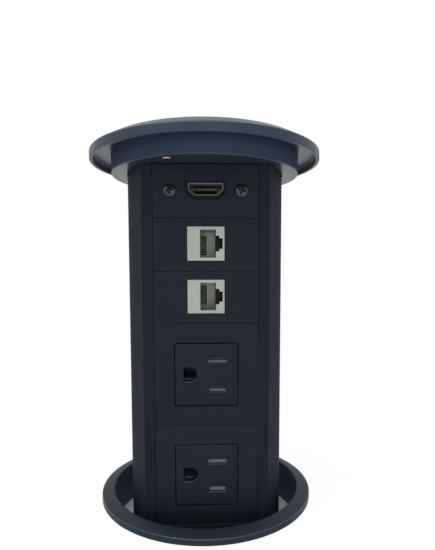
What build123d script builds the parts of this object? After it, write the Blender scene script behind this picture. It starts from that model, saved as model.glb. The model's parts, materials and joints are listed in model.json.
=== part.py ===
from build123d import *
import os
from math import acos, asin, atan2, cos, degrees, hypot, sin

# A round pop-up socket tower for a desk, shown raised. Sizes are in millimetres.
# The origin is on the tower's axis, level with the underside of the desk ring's flange.
# +Z points up, and the sockets face -Y.

# Column: a round back with straight flanks that run to a flat front
module_w = 45.0          # width of the modules in the front
front_lip = 4.5          # the extrusion's front beside the modules
face_half = module_w / 2 + front_lip
face_y = 29.0            # from the axis to the flat front
column_r = 36.6          # radius of the round back
column_wall = 2.0        # wall of the extrusion
edge_r = 1.2             # rounding of the two front edges
port_r = 1.65            # screw port bored along the extrusion
port_wall = 1.95         # wall round each screw port
port_inset = 4.4         # screw ports' distance in from the round back
port_ring = column_r - port_inset
port_angles = (-15, 45, 135, 195)

# Front modules, stacked from the bottom up
outlet_h = 45.0
data_h = 22.5
stack_z = -3.5           # foot of the lowest outlet plate
plate_t = 3.0
seam = 0.1               # from a plate's edge to the line it shares with its neighbour
lip_gap = 0.25           # between a plate and the extrusion's front lip
plate_chamfer = 0.25
clip_t = 1.8             # thickness of the clip rails behind a plate
clip_reach = 1.9         # how far a clip hooks behind the lip
clip_depth = 3.5
clip_inset = 2.0         # clip rails stop this far short of a plate's ends

# Desk ring
well_gap = 5.38          # from the column's front edges out to the well's wall
well_r = hypot(face_half, face_y) + well_gap
seat_step = 0.4          # the shoulder that the guide ring bears on
seat_r = well_r + seat_step
collar_wall = 1.8
collar_r = seat_r + collar_wall  # what passes through the desk hole
collar_h = 60.0
flange_w = 4.0           # how far the flange reaches past the collar
ring_r = collar_r + flange_w
ring_edge_h = 2.65       # the flange's upright outer wall
ring_lip_h = 4.05        # height of the lip round the well
ring_round = 0.35
lip_flat = 0.9           # level top of the lip
lip_round = 0.8
thread_depth = 0.7
thread_root_r = collar_r - thread_depth
thread_pitch = 3.0
thread_top = 8.0         # depth of the first ridge below the flange
thread_end = 7.0         # plain foot of the collar, where the barrel's screws go
thread_count = int((collar_h - thread_top - thread_end) / thread_pitch)
gasket_inset = 1.0       # from the collar out to the flange gasket
gasket_r = collar_r + gasket_inset
gasket_w = 2.0
gasket_t = 0.8

# Guide inside the ring, and the barrel below it
recess_depth = 15.4      # from the flange underside down to the guide ring
guide_t = 8.0
slide_gap = 0.3          # between the column and what guides it
fit_gap = 0.1            # between pieces that are pushed together
relief_half = 21.0       # the guide is relieved across the modules, and deeper for the screw heads
relief_gap = 1.0
groove_half = 3.5
groove_gap = 2.3
wiper_t = 2.8
wiper_w = 2.6
wiper_drop = 2.6         # from the guide's top to the wiper
barrel_r = seat_r - fit_gap
barrel_wall = 2.3
barrel_bore_r = barrel_r - barrel_wall
cover_t = 4.0
cover_chamfer = 0.8
spigot_h = 5.5
spigot_w = 3.0
under_gap = 1.5          # left under the column when it is fully down

# Foot of the column
foot_guide_h = 22.5
foot_gap = 0.4           # between the foot guide and the barrel's bore
foot_guide_r = barrel_bore_r - foot_gap
foot_plate_t = 3.0
foot_plate_step = 0.6    # the foot plate is smaller by this much all round
foot_plate_r = foot_guide_r - foot_plate_step
cable_hole_r = 6.0
cable_hole_y = -8.0
pad_r = 4.0
pad_depth = 4.4          # from the foot guide's outside to a pad's seat
pad_seat_r = foot_guide_r - pad_depth
pad_gap = 0.15           # between a friction pad and the barrel's bore
pad_angles = (0, 90, 180)

# Cap
skirt_gap = 1.0          # between the skirt and the well's wall
skirt_r = well_r - skirt_gap
skirt_wall = 2.5
skirt_ledge = 1.0        # step inside the skirt that bears on the base plate
skirt_plate_t = 2.1
rim_rise = 5.5           # from the skirt's foot to the rim's foot
rim_over = 2.5           # how far the rim reaches past the desk ring
rim_r = ring_r + rim_over
rim_t = 1.6
rim_depth = 3.0          # from the rim's foot up to the lid's underside
rim_draft = 0.3          # the rim's inner wall leans in this much towards the underside
rim_round = 0.5
rim_wall_h = 3.8         # height of the rim's upright wall
brow_w = 7.7             # the slope above the wall runs in this far
brow_r = rim_r - brow_w
brow_h = 4.1             # rise of that slope
brow_rounds = (1.0, 4.0)  # roundings at the foot and the top of the slope
crown_rise = 1.2         # the lid's crown above its slope
rest_gap = 0.15          # between lid and ring when the column is down
top_plate_t = 3.0
top_plate_gap = 0.2      # between the top plate and the skirt's inside
top_plate_r = skirt_r - skirt_wall - top_plate_gap
port_clear = 0.9         # between the skirt plate and the top plate

# Screws
m3_head_r, m3_head_h, m3_r = 2.9, 1.5, 1.5
m25_head_r, m25_head_h, m25_r = 1.9, 1.0, 1.1
screw_gap = 0.05
screw_sink = 0.2         # radial screws' heads below the surface
port_bite = 8.0          # screw length inside a port
cross_w = 0.7            # width of the cross slot's arms
lid_screw_inset = 2.3    # from the top plate's edge to the lid screws
lid_screw_ring = top_plate_r - lid_screw_inset
lid_screw_angles = (20, 90, 160)
lid_boss_r = 2.3
skirt_screw_inset = 4.4  # from the skirt's outside to its screws
skirt_screw_ring = skirt_r - skirt_screw_inset
skirt_screw_angles = (-113, 67)
radial_angles = (45, 135, 225, 315)

# Clamp under the desk
desk_t = 25.0            # desk top that the clamp is shown set for
clamp_gap = 0.2          # between the collar's thread and what runs on it
clamp_bore_r = collar_r + clamp_gap
washer_w = 9.6
washer_r = clamp_bore_r + washer_w
washer_t = 2.0
washer_chamfer = 0.4
nut_chamfer = 1.0
nut_w = 8.6
nut_r = clamp_bore_r + nut_w
nut_h = 12.0
nut_gap = 0.1
grip_r = 5.0             # finger hollows round the nut, and how far out their axes are
grip_out = 1.4
grip_count = 12

# HDMI port
hdmi_half = 7.35
hdmi_top = 2.55
hdmi_corner_z = -0.29    # where the lower corners start to slope
hdmi_foot_half = 4.85
hdmi_wall = 0.3
hdmi_depth = 12.0
hdmi_set = 0.1           # the shell's edge behind the plate's face
hdmi_rise = 0.6          # port's centre above the plate's centre
relief_w = 1.9
relief_foot_w = 0.6
relief_depth = 1.1
tongue_half = 5.4
tongue_z = (-0.35, 0.6)
tongue_set = 1.6
contact_pitch = 1.0
contact_w = 0.45
contact_t = 0.12
hdmi_screw_x = 15.2
pan_r = 2.9
pan_h = 1.6
coupler_half = (10.5, 6.0)
coupler_back = -5.0
flange_gap = 1.05        # from the coupler's flange to the plate's clip rails
flange_half_h = 5.0
flange_t = 3.0

# Network jack, turned so that its latch is to the right
key_w, key_h = 15.9, 14.45
key_proud = 0.3
key_rise = 0.4
key_back = -8.0
key_gap = 0.12
ear_half = (9.8, 5.0)
ear_t = 2.0
mouth_x = -2.5
mouth_w = 6.8
mouth_h = 11.9
mouth_depth = 14.0
notch_steps = ((1.4, 6.6), (1.4, 4.4))
notch_depth = 12.0
wire_count = 8
wire_pitch = 1.02
wire_w = 0.5
wire_t = 0.4
wire_reach = 2.5
wire_start = 1.0
wire_bend = 10.5
rear_half = (7.6, 7.0)
rear_back = 1.0
idc_pitch = 3.4
idc_w = 0.8

# Outlet, turned so that its ground hole is to the left
insert_w = 27.0
insert_gap = 0.45
insert_corner = 0.8
insert_rise = 0.2        # the insert's centre above the plate's centre
insert_back_w = 31.0
insert_back_t = 1.0
blade_x = 4.85
blade_pitch = 12.7
blade_slot_h = 2.5
neutral_w, line_w = 8.5, 7.2
ground_x = -7.1
ground_r = 3.0
ground_flat = 2.8
face_wall = 1.2          # the insert's wall in front of the shutter
shutter_half = 5.5
shutter_gap = 0.1        # clearance round the shutter, front and back
shutter_side_gap = 0.2   # and at its two sides
shutter_move = 3.0       # down, to bring its windows in line with the slots
window_half = 1.15
window_side = 0.25       # a window is wider than its slot by this much on each side
shutter_bar = 1.2        # above the upper window
shutter_tail = 1.2       # below the lower ramp
spring_hole = (-1.2, 4.2)  # the hole between the ramps that holds the spring, from the outlet's centre
spring_peg_h = 0.8       # the insert's peg at the hole's foot, which carries the spring
spring_peg_half = 0.9
spring_r = 0.9
spring_wire_r = 0.15
spring_turns = 4
housing_w = 36.0
housing_back = -4.0
chamber_back = -9.0
chamber_gap = 0.35
leaf_t = 0.7
leaf_gap = 1.3
contact_len = 9.0
ground_gap = 4.9
ground_len = 5.0
tail_half = (1.5, 0.4)
tail_gap = 0.1

# Mains leads and terminal block
lead_r = 1.6
lead_y = 2.4
line_x, neutral_x = 8.5, 1.2
lead_bend_r = 4.0
lead_rise = (12.0, 20.0)  # heights above the terminal block where a lead turns to the modules
lead_end = 2.0           # a lead ends this far above the tab it is joined to
lead_socket = 6.0
terminal_half = 14.0
terminal_y = (5.0, 21.0)
terminal_h = 16.0
terminal_screw = 6.5

# Cable gland
cord_r = 4.0
gland_bore_gap = 0.5     # between the cord and the gland body's bore
gland_bore_r = cord_r + gland_bore_gap
gland_wall = 1.5
gland_thread_r = gland_bore_r + gland_wall
gland_hex = 10.0         # half the width across the body's flats
gland_hex_h = 5.0
gland_stem_h = 9.0
gland_stem_r = 7.5
gland_end = 0.6          # the body's end above the lock nut
dome_r = 10.0
dome_slope = (2.5, 4.0)  # how far the dome's foot draws in, and over what height
dome_round = 2.0
rib_r = 1.1              # hollows round the dome nut, and how far out their axes are
rib_out = 0.6
dome_wall = 3.0
dome_gap = 0.2
dome_lift = 1.0          # between the dome nut and the body's hexagon
seal_h = 8.0
locknut_t = 3.6
locknut_in = 1.0         # the lock nut's hexagon is smaller by this much

# Places that follow from the sizes above
front = -face_y
plate_back = front + plate_t
lip_back = front + column_wall
outlet_z = (stack_z, stack_z + outlet_h)
jack_z = (outlet_z[1] + outlet_h, outlet_z[1] + outlet_h + data_h)
hdmi_plate_z = jack_z[1] + data_h
stack_top = hdmi_plate_z + data_h
skirt_z = stack_top
rim_z = skirt_z + rim_rise
under_z = rim_z + rim_depth
brow_z = rim_z + rim_wall_h
column_top = skirt_z + skirt_plate_t + port_clear
lid_boss_z = column_top + top_plate_t
guide_top = -recess_depth
guide_foot = guide_top - guide_t
foot_guide_top = guide_foot - slide_gap
column_foot = foot_guide_top - foot_guide_h
foot_z = column_foot - foot_plate_t
travel = under_z - ring_lip_h - rest_gap
spigot_top = foot_z - travel - under_gap
barrel_foot = spigot_top - spigot_h
cover_foot = barrel_foot - cover_t
module_half = module_w / 2 - lip_gap + seam
flank_angle = atan2(-face_y, face_half) + acos(column_r / hypot(face_half, face_y))
flank = (cos(flank_angle), sin(flank_angle))


def block(x, y, z):
    """A box between two limits on each axis."""
    size = [high - low for low, high in (x, y, z)]
    middle = [(high + low) / 2 for low, high in (x, y, z)]
    return Pos(*middle) * Box(*size)


def disc(radius, low, high, x=0.0, y=0.0):
    """An upright cylinder between two heights."""
    return Pos(x, y, (low + high) / 2) * Cylinder(radius, high - low)


def spun(points, rounds=()):
    """A turned piece from its half profile of (radius, height), with chosen corners rounded."""
    face = make_face(Polyline(points, close=True))
    for corner, radius in rounds:
        vertex = face.vertices().sort_by_distance(Vector(*corner))[0]
        face = fillet(vertex, radius)
    return revolve(Plane.XZ * face, Axis.Z)


def outline(gap=0.0):
    """The column's outline, grown by a gap all round."""
    radius = column_r + gap
    face = front - gap
    corner = (radius - flank[1] * face) / flank[0]
    touch = (radius * flank[0], radius * flank[1])
    edge = [
        Line((-corner, face), (corner, face)),
        Line((corner, face), touch),
        ThreePointArc(touch, (0, radius), (-touch[0], touch[1])),
        Line((-touch[0], touch[1]), (-corner, face)),
    ]
    shape = make_face(edge)
    return fillet(shape.vertices().sort_by(Axis.Y)[:2], max(edge_r + gap, 0.2))


def column_solid(gap, low, high):
    """A solid of the column's outline between two heights."""
    return Pos(0, 0, low) * extrude(outline(gap), high - low, dir=(0, 0, 1))


def polar(radius, angle, height=0.0):
    """A place at an angle round the axis, with its X pointing outwards."""
    return Pos(0, 0, height) * Rot(0, 0, angle) * Pos(radius, 0, 0)


def cross_slot(reach, depth):
    """The cross recess cut into a screw head whose top is at height 0."""
    arm = Box(2 * reach, cross_w, 2 * depth)
    return arm + Rot(0, 0, 90) * arm


def flat_screw(head_r, head_h, shank_r, length):
    """A countersunk screw that points down, with the top of its head at height 0."""
    body = spun([(0, 0), (head_r, 0), (shank_r, -head_h), (shank_r, -length), (0, -length)])
    return body - cross_slot(head_r * 0.6, head_h * 0.7)


def flat_screw_hole(head_r, head_h, shank_r, length):
    """The countersunk hole for a flat screw, open above its head."""
    top = head_h
    wide = head_r + screw_gap
    thin = shank_r + screw_gap
    return spun([(0, top), (wide, top), (wide, 0), (thin, -head_h), (thin, -length), (0, -length)])


def pan_screw(length):
    """A round-headed screw that points down, with the underside of its head at height 0."""
    dome = 0.55 * pan_h
    head = spun(
        [(0, 0), (pan_r, 0), (pan_r, pan_h - dome), (pan_r * 0.62, pan_h), (0, pan_h)],
        [((pan_r, pan_h - dome), dome)],
    )
    shank = disc(m3_r, -length, 0)
    slot = Pos(0, 0, pan_h) * cross_slot(pan_r * 0.62, pan_h * 0.75)
    return head + shank - slot


def group(pieces):
    """Several separate solids kept as one node."""
    return Compound(children=list(pieces))


M3 = (m3_head_r, m3_head_h, m3_r)
M25 = (m25_head_r, m25_head_h, m25_r)
parts = {}


# Desk ring: flange, lip round the well and the threaded collar
def desk_ring():
    profile = [
        (seat_r, -collar_h),
        (seat_r, guide_top),
        (well_r, guide_top),
        (well_r, ring_lip_h),
        (well_r + lip_flat, ring_lip_h),
        (ring_r, ring_edge_h),
        (ring_r, 0),
        (collar_r, 0),
        (collar_r, -thread_top),
    ]
    for ridge in range(thread_count):
        crest = -thread_top - ridge * thread_pitch
        profile += [(thread_root_r, crest - thread_pitch / 2), (collar_r, crest - thread_pitch)]
    profile.append((collar_r, -collar_h))
    rounds = [((well_r, ring_lip_h), lip_round), ((ring_r, ring_edge_h), ring_round)]
    ring = spun(profile, rounds)
    groove = disc(gasket_r + gasket_w, -1, gasket_t) - disc(gasket_r, -1, gasket_t)
    for place in collar_screw_places():
        ring -= place * flat_screw_hole(*M3, collar_r - barrel_bore_r)
    return ring - groove


def collar_screw_places():
    height = -(thread_top + thread_count * thread_pitch + collar_h) / 2
    return [polar(collar_r - screw_sink, angle, height) * Rot(0, 90, 0) for angle in radial_angles]


def cover_screw_places():
    height = barrel_foot + spigot_h / 2
    return [polar(barrel_r - screw_sink, angle, height) * Rot(0, 90, 0) for angle in radial_angles]


collar_screw_len = collar_r - barrel_bore_r - 2 * screw_sink
cover_screw_len = barrel_r - barrel_bore_r + spigot_w - 2 * screw_sink

parts["desk_ring"] = desk_ring()
parts["flange_gasket"] = disc(gasket_r + gasket_w, 0, gasket_t) - disc(gasket_r, 0, gasket_t)
parts["collar_screws"] = group(
    place * flat_screw(*M3, collar_screw_len) for place in collar_screw_places()
)


# Guide ring with its felt wiper, held between the desk ring's shoulder and the barrel's upper end
def guide_opening(low, high):
    """What the column sweeps, with room for the parts that stand proud of its face."""
    opening = column_solid(slide_gap, low, high)
    opening += block((-relief_half, relief_half), (front - relief_gap, front), (low, high))
    for x in (-hdmi_screw_x, hdmi_screw_x):
        opening += block((x - groove_half, x + groove_half), (front - groove_gap, front), (low, high))
    return opening


def guide_ring():
    ring = disc(barrel_r, guide_foot, guide_top)
    wiper_seat = column_solid(
        slide_gap + wiper_w + fit_gap, wiper_top - wiper_t - fit_gap, wiper_top + fit_gap
    )
    return ring - guide_opening(guide_foot - 1, guide_top + 1) - wiper_seat


wiper_top = guide_top - wiper_drop
parts["guide_ring"] = guide_ring()
wiper = column_solid(slide_gap + wiper_w, wiper_top - wiper_t, wiper_top)
parts["felt_wiper"] = wiper - guide_opening(wiper_top - wiper_t - 1, wiper_top + 1)


# Barrel under the desk, closed by a cover that carries the cable gland
def barrel():
    tube = disc(barrel_r, barrel_foot, guide_foot) - disc(barrel_bore_r, barrel_foot - 1, guide_foot + 1)
    for place in collar_screw_places():
        tube -= place * flat_screw_hole(*M3, collar_r - barrel_bore_r + 1)
    for place in cover_screw_places():
        tube -= place * flat_screw_hole(*M25, cover_screw_len)
    return tube


def bottom_cover():
    cover = disc(barrel_r, cover_foot, barrel_foot)
    cover = chamfer(cover.edges().sort_by(Axis.Z)[0], cover_chamfer)
    spigot_r = barrel_bore_r - fit_gap
    cover += disc(spigot_r, barrel_foot, spigot_top) - disc(spigot_r - spigot_w, barrel_foot, spigot_top + 1)
    cover -= disc(gland_thread_r + fit_gap, cover_foot - 1, barrel_foot + 1)
    for place in cover_screw_places():
        cover -= place * flat_screw_hole(*M25, cover_screw_len + screw_sink)
    return cover


parts["barrel"] = barrel()
parts["bottom_cover"] = bottom_cover()
parts["cover_screws"] = group(
    place * flat_screw(*M25, cover_screw_len) for place in cover_screw_places()
)


# Cable gland: body through the cover, lock nut inside, seal and dome nut outside
def hexagon(half, low, high):
    return Pos(0, 0, low) * extrude(RegularPolygon(half, 6, major_radius=False), high - low)


hex_foot = cover_foot - gland_hex_h
stem_foot = hex_foot - gland_stem_h
seal_top = stem_foot + seal_h / 2
seal_foot = seal_top - seal_h
dome_foot = seal_foot - dome_wall
locknut_top = barrel_foot + locknut_t


def gland_body():
    body = hexagon(gland_hex, hex_foot, cover_foot)
    body += disc(gland_thread_r, cover_foot, locknut_top + gland_end)
    body += disc(gland_stem_r, stem_foot, hex_foot)
    body -= disc(gland_bore_r, stem_foot - 1, locknut_top + gland_end + 1)
    return body - disc(gland_thread_r, stem_foot - 1, seal_top)


def gland_locknut():
    nut = hexagon(gland_hex - locknut_in, barrel_foot, locknut_top)
    return nut - disc(gland_thread_r + screw_gap, barrel_foot - 1, locknut_top + 1)


def gland_nut():
    top = hex_foot - dome_lift
    shoulder = dome_foot + dome_slope[1]
    nut = spun(
        [(0, dome_foot), (dome_r - dome_slope[0], dome_foot), (dome_r, shoulder), (dome_r, top), (0, top)],
        [((dome_r, shoulder), dome_round)],
    )
    for turn in range(grip_count):
        nut -= polar(dome_r + rib_out, turn * 360 / grip_count) * disc(rib_r, dome_foot - 1, top + 1)
    nut -= disc(gland_stem_r + screw_gap, dome_foot + dome_wall, top + 1)
    return nut - disc(cord_r, dome_foot - 1, top)


parts["gland_body"] = gland_body()
parts["gland_locknut"] = gland_locknut()
seal = disc(gland_thread_r - screw_gap, seal_foot, seal_top)
parts["gland_seal"] = seal - disc(cord_r, seal_foot - 1, seal_top + 1)
parts["gland_nut"] = gland_nut()


# Clamp under the desk: a pressure ring and the nut that drives it up the thread
washer_top = -desk_t
washer_foot = washer_top - washer_t
nut_top = washer_foot - nut_gap
nut_foot = nut_top - nut_h


def clamp_washer():
    washer = chamfer(disc(washer_r, washer_foot, washer_top).edges().sort_by(Axis.Z)[-1], washer_chamfer)
    return washer - disc(clamp_bore_r, washer_foot - 1, washer_top + 1)


def clamp_nut():
    nut = disc(nut_r, nut_foot, nut_top)
    nut = chamfer(nut.edges().filter_by(GeomType.CIRCLE), nut_chamfer)
    for turn in range(grip_count):
        nut -= polar(nut_r + grip_out, turn * 360 / grip_count) * disc(grip_r, nut_foot - 1, nut_top + 1)
    return nut - disc(clamp_bore_r, nut_foot - 1, nut_top + 1)


parts["clamp_washer"] = clamp_washer()


parts["clamp_nut"] = clamp_nut()


# Column: one extrusion, open at the front for the modules, with four screw ports
def port_places():
    return [polar(port_ring, angle) for angle in port_angles]


def column():
    shell = column_solid(0, column_foot, column_top) - column_solid(-column_wall, column_foot - 1, column_top + 1)
    for place in port_places():
        shell += place * disc(port_r + port_wall, column_foot, column_top) & column_solid(
            -0.01, column_foot, column_top
        )
    half = module_w / 2
    shell -= block((-half, half), (front - 1, lip_back + 0.5), (column_foot - 1, column_top + 1))
    for place in port_places():
        shell -= place * disc(port_r, column_foot - 1, column_top + 1)
    return shell


parts["column_extrusion"] = column()


# Top plate, screwed to the extrusion's ports inside the cap
def plate_screw_len(thickness):
    return thickness + port_bite


def top_plate():
    plate = disc(top_plate_r, column_top, lid_boss_z)
    for place in port_places():
        plate -= Pos(0, 0, lid_boss_z) * place * flat_screw_hole(*M3, top_plate_t + 1)
    for angle in lid_screw_angles:
        place = polar(lid_screw_ring, angle, column_top) * Rot(180, 0, 0)
        plate -= place * flat_screw_hole(*M25, top_plate_t + 1)
    for angle in skirt_screw_angles:
        plate -= polar(skirt_screw_ring, angle) * disc(m25_r + screw_gap, column_top - 1, lid_boss_z + 1)
    return plate


parts["top_plate"] = top_plate()
parts["top_plate_screws"] = group(
    Pos(0, 0, lid_boss_z) * place * flat_screw(*M3, plate_screw_len(top_plate_t)) for place in port_places()
)


# Cap: lid with its overhanging rim, skirt below it, and the plate that closes the skirt
def cap_lid():
    inner = rim_r - rim_t
    under = [(0, under_z), (inner - rim_draft, under_z), (inner, rim_z), (rim_r, rim_z)]
    wall_top, brow = (rim_r, brow_z), (brow_r, brow_z + brow_h)
    top = (0, brow[1] + crown_rise)
    sphere_r = (brow_r**2 + crown_rise**2) / (2 * crown_rise)
    spread = degrees(asin(brow_r / sphere_r))
    crown = CenterArc((0, top[1] - sphere_r), sphere_r, 90 - spread, spread)
    shade = make_face([Polyline([top] + under + [wall_top, brow]), crown])
    for corner, radius in zip(((rim_r, rim_z), wall_top, brow), (rim_round, *brow_rounds)):
        shade = fillet(shade.vertices().sort_by_distance(Vector(*corner))[0], radius)
    lid = revolve(Plane.XZ * shade, Axis.Z)
    for angle in lid_screw_angles:
        boss = disc(lid_boss_r, lid_boss_z, under_z)
        hole = disc(m25_r + screw_gap, lid_boss_z - 1, lid_boss_z + lid_hole_depth)
        lid = lid + polar(lid_screw_ring, angle) * boss - polar(lid_screw_ring, angle) * hole
    return lid


lid_hole_depth = under_z - lid_boss_z + 2.0
lid_screw_len = top_plate_t + lid_hole_depth - 0.4
parts["cap_lid"] = cap_lid()
parts["lid_screws"] = group(
    polar(lid_screw_ring, angle, column_top) * Rot(180, 0, 0) * flat_screw(*M25, lid_screw_len)
    for angle in lid_screw_angles
)

ledge_z = skirt_z + skirt_plate_t
bore_r = skirt_r - skirt_wall
parts["cap_skirt"] = spun(
    [
        (bore_r + skirt_ledge, skirt_z),
        (bore_r + skirt_ledge, ledge_z),
        (bore_r, ledge_z),
        (bore_r, under_z),
        (skirt_r, under_z),
        (skirt_r, skirt_z),
    ],
    [((skirt_r, skirt_z), 0.4)],
)


def skirt_plate():
    plate = disc(bore_r + skirt_ledge - fit_gap, skirt_z, ledge_z)
    for angle in skirt_screw_angles:
        plate += polar(skirt_screw_ring, angle) * disc(lid_boss_r - 0.5, ledge_z, column_top)
    plate -= column_solid(slide_gap, skirt_z - 1, column_top + 1)
    for angle in skirt_screw_angles:
        place = polar(skirt_screw_ring, angle, skirt_z) * Rot(180, 0, 0)
        plate -= place * flat_screw_hole(*M25, skirt_plate_t + port_clear + 1)
    return plate


parts["skirt_plate"] = skirt_plate()
parts["skirt_screws"] = group(
    polar(skirt_screw_ring, angle, skirt_z)
    * Rot(180, 0, 0)
    * flat_screw(*M25, skirt_plate_t + port_clear + top_plate_t)
    for angle in skirt_screw_angles
)


# Foot of the column: guide sleeve with friction pads, and the end plate
def foot_guide():
    sleeve = disc(foot_guide_r, column_foot, foot_guide_top)
    sleeve = chamfer(sleeve.edges().filter_by(GeomType.CIRCLE), 0.5)
    sleeve -= column_solid(fit_gap, column_foot - 1, foot_guide_top + 1)
    for pad in pad_blanks(fit_gap, pad_seat_r - fit_gap, foot_guide_r + 1):
        sleeve -= pad
    return sleeve


def pad_blanks(gap, inner, outer):
    middle = (column_foot + foot_guide_top) / 2
    blank = Pos((inner + outer) / 2, 0, middle) * Rot(0, 90, 0) * Cylinder(pad_r + gap, outer - inner)
    return [Rot(0, 0, angle) * blank for angle in pad_angles]


def foot_plate():
    plate = disc(foot_plate_r, foot_z, column_foot)
    for place in port_places():
        plate -= Pos(0, 0, foot_z) * place * Rot(180, 0, 0) * flat_screw_hole(*M3, foot_plate_t + 1)
    return plate - disc(cable_hole_r, foot_z - 1, column_foot + 1, 0, cable_hole_y)


pad_face = disc(barrel_bore_r - pad_gap, column_foot, foot_guide_top)
parts["foot_guide"] = foot_guide()
parts["friction_pads"] = group(
    pad & pad_face for pad in pad_blanks(0, pad_seat_r, barrel_bore_r)
)
parts["foot_plate"] = foot_plate()
parts["foot_plate_screws"] = group(
    Pos(0, 0, foot_z) * place * Rot(180, 0, 0) * flat_screw(*M3, plate_screw_len(foot_plate_t))
    for place in port_places()
)


# Module plates, clipped behind the extrusion's two front lips
def module_plate(low, high):
    plate = block((-module_half, module_half), (front, plate_back), (low + seam, high - seam))
    plate = chamfer(plate.faces().sort_by(Axis.Y)[0].edges(), plate_chamfer)
    rail_z = (low + clip_inset, high - clip_inset)
    for side in (-1, 1):
        web = sorted((side * (module_half - clip_t), side * module_half))
        hook = sorted((side * module_half, side * (module_half + clip_reach)))
        plate += block(web, (plate_back, plate_back + clip_depth), rail_z)
        plate += block(hook, (lip_back + slide_gap / 2, lip_back + clip_t), rail_z)
    return plate


# HDMI plate with its coupler
def hdmi_face(gap, depth):
    half = [(hdmi_half, hdmi_top), (hdmi_half, hdmi_corner_z), (hdmi_foot_half, -hdmi_top)]
    points = half + [(-x, z) for x, z in reversed(half)]
    face = make_face(Polyline([(x, z) for x, z in points], close=True))
    if gap:
        face = offset(face, gap, kind=Kind.INTERSECTION)
    return Pos(0, depth, hdmi_z) * Rot(90, 0, 0) * face


def hdmi_prism(gap, near, far):
    return extrude(hdmi_face(gap, far), far - near, dir=(0, -1, 0))


def hdmi_plate():
    plate = module_plate(hdmi_plate_z, stack_top)
    relief = loft([hdmi_face(relief_w, front), hdmi_face(relief_foot_w, front + relief_depth)])
    plate -= relief
    plate -= hdmi_prism(fit_gap, front - 1, plate_back + 1)
    for x in (-hdmi_screw_x, hdmi_screw_x):
        plate -= from_round(m3_r + fit_gap, front - 1, plate_back + 1, x, hdmi_screw_z)
    return plate


def from_round(radius, near, far, x, z):
    """A cylinder that runs from the front to the back."""
    return Pos(x, (near + far) / 2, z) * Rot(90, 0, 0) * Cylinder(radius, far - near)


hdmi_screw_z = hdmi_plate_z + data_h / 2
hdmi_z = hdmi_screw_z + hdmi_rise
shell_front = front + hdmi_set
shell_back = shell_front + hdmi_depth
parts["hdmi_plate"] = hdmi_plate()
parts["hdmi_shell"] = hdmi_prism(0, shell_front, shell_back) - hdmi_prism(
    -hdmi_wall, shell_front - 1, shell_back + 1
)
tongue_front = front + tongue_set
core_z = (hdmi_z + tongue_z[0], hdmi_z + tongue_z[1])
parts["hdmi_core"] = hdmi_prism(-hdmi_wall - screw_gap, shell_back - 2, shell_back) + block(
    (-tongue_half, tongue_half), (tongue_front, shell_back - 1), core_z
)


def hdmi_contacts():
    strips = []
    span = (tongue_front + 0.5, shell_back - 2)
    for count, low, high in ((10, core_z[1], core_z[1] + contact_t), (9, core_z[0] - contact_t, core_z[0])):
        for place in range(count):
            x = (place - (count - 1) / 2) * contact_pitch
            strips.append(block((x - contact_w / 2, x + contact_w / 2), span, (low, high)))
    return group(strips)


def hdmi_coupler():
    flange_half = module_half - clip_t - flange_gap
    flange = block(
        (-flange_half, flange_half),
        (plate_back, plate_back + flange_t),
        (hdmi_screw_z - flange_half_h, hdmi_screw_z + flange_half_h),
    )
    body = block(
        (-coupler_half[0], coupler_half[0]),
        (plate_back, coupler_back),
        (hdmi_z - coupler_half[1], hdmi_z + coupler_half[1]),
    )
    coupler = flange + body
    coupler -= hdmi_prism(screw_gap, plate_back - 1, shell_back)
    coupler -= hdmi_prism(-hdmi_wall, coupler_back - 5, coupler_back + 1)
    for x in (-hdmi_screw_x, hdmi_screw_x):
        coupler -= from_round(m3_r + screw_gap, plate_back - 1, plate_back + flange_t + 1, x, hdmi_screw_z)
    return coupler


parts["hdmi_contacts"] = hdmi_contacts()
parts["hdmi_coupler"] = hdmi_coupler()
parts["hdmi_screws"] = group(
    Pos(x, front, hdmi_screw_z) * Rot(90, 0, 0) * pan_screw(plate_t + flange_t + 1.5)
    for x in (-hdmi_screw_x, hdmi_screw_x)
)


# Network plates, each with a white jack, its eight wires and its rear block
def jack_plate(low):
    z = low + data_h / 2 + key_rise
    hole = block(
        (-key_w / 2 - key_gap, key_w / 2 + key_gap),
        (front - 1, plate_back + 1),
        (z - key_h / 2 - key_gap, z + key_h / 2 + key_gap),
    )
    return module_plate(low, low + data_h) - hole


def jack_housing(z):
    face = front - key_proud
    floor = face + mouth_depth
    body = block((-key_w / 2, key_w / 2), (face, key_back), (z - key_h / 2, z + key_h / 2))
    body = chamfer(body.faces().sort_by(Axis.Y)[0].edges(), 0.2)
    body += block(
        (-ear_half[0], ear_half[0]), (plate_back, plate_back + ear_t), (z - ear_half[1], z + ear_half[1])
    )
    body -= block(
        (mouth_x, mouth_x + mouth_w), (face - 1, floor), (z - mouth_h / 2, z + mouth_h / 2)
    )
    start = mouth_x + mouth_w
    for width, height in notch_steps:
        body -= block((start - 0.01, start + width), (face - 1, face + notch_depth), (z - height / 2, z + height / 2))
        start += width
    return body


def jack_wires(z):
    face = front - key_proud
    floor = face + mouth_depth
    tip = mouth_x + wire_reach
    bent = [
        (mouth_x, face + wire_start),
        (tip, face + wire_bend),
        (tip, floor),
        (tip - wire_t, floor),
        (tip - wire_t, face + wire_bend + 0.2),
        (mouth_x, face + wire_start + 2 * wire_t),
    ]
    wire = extrude(make_face(Polyline(bent, close=True)), wire_w)
    low = z - wire_w / 2
    return group(
        Pos(0, 0, low + (i - (wire_count - 1) / 2) * wire_pitch) * wire for i in range(wire_count)
    )


def jack_rear(z):
    body = block(
        (-rear_half[0], rear_half[0]), (key_back, rear_back), (z - rear_half[1], z + rear_half[1])
    )
    for side in (-1, 1):
        for i in range(4):
            x = (i - 1.5) * idc_pitch
            reach = sorted((z + side * rear_half[1] * 0.55, z + side * (rear_half[1] + 1)))
            body -= block((x - idc_w / 2, x + idc_w / 2), (rear_back - 5, rear_back + 1), reach)
    return body


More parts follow.
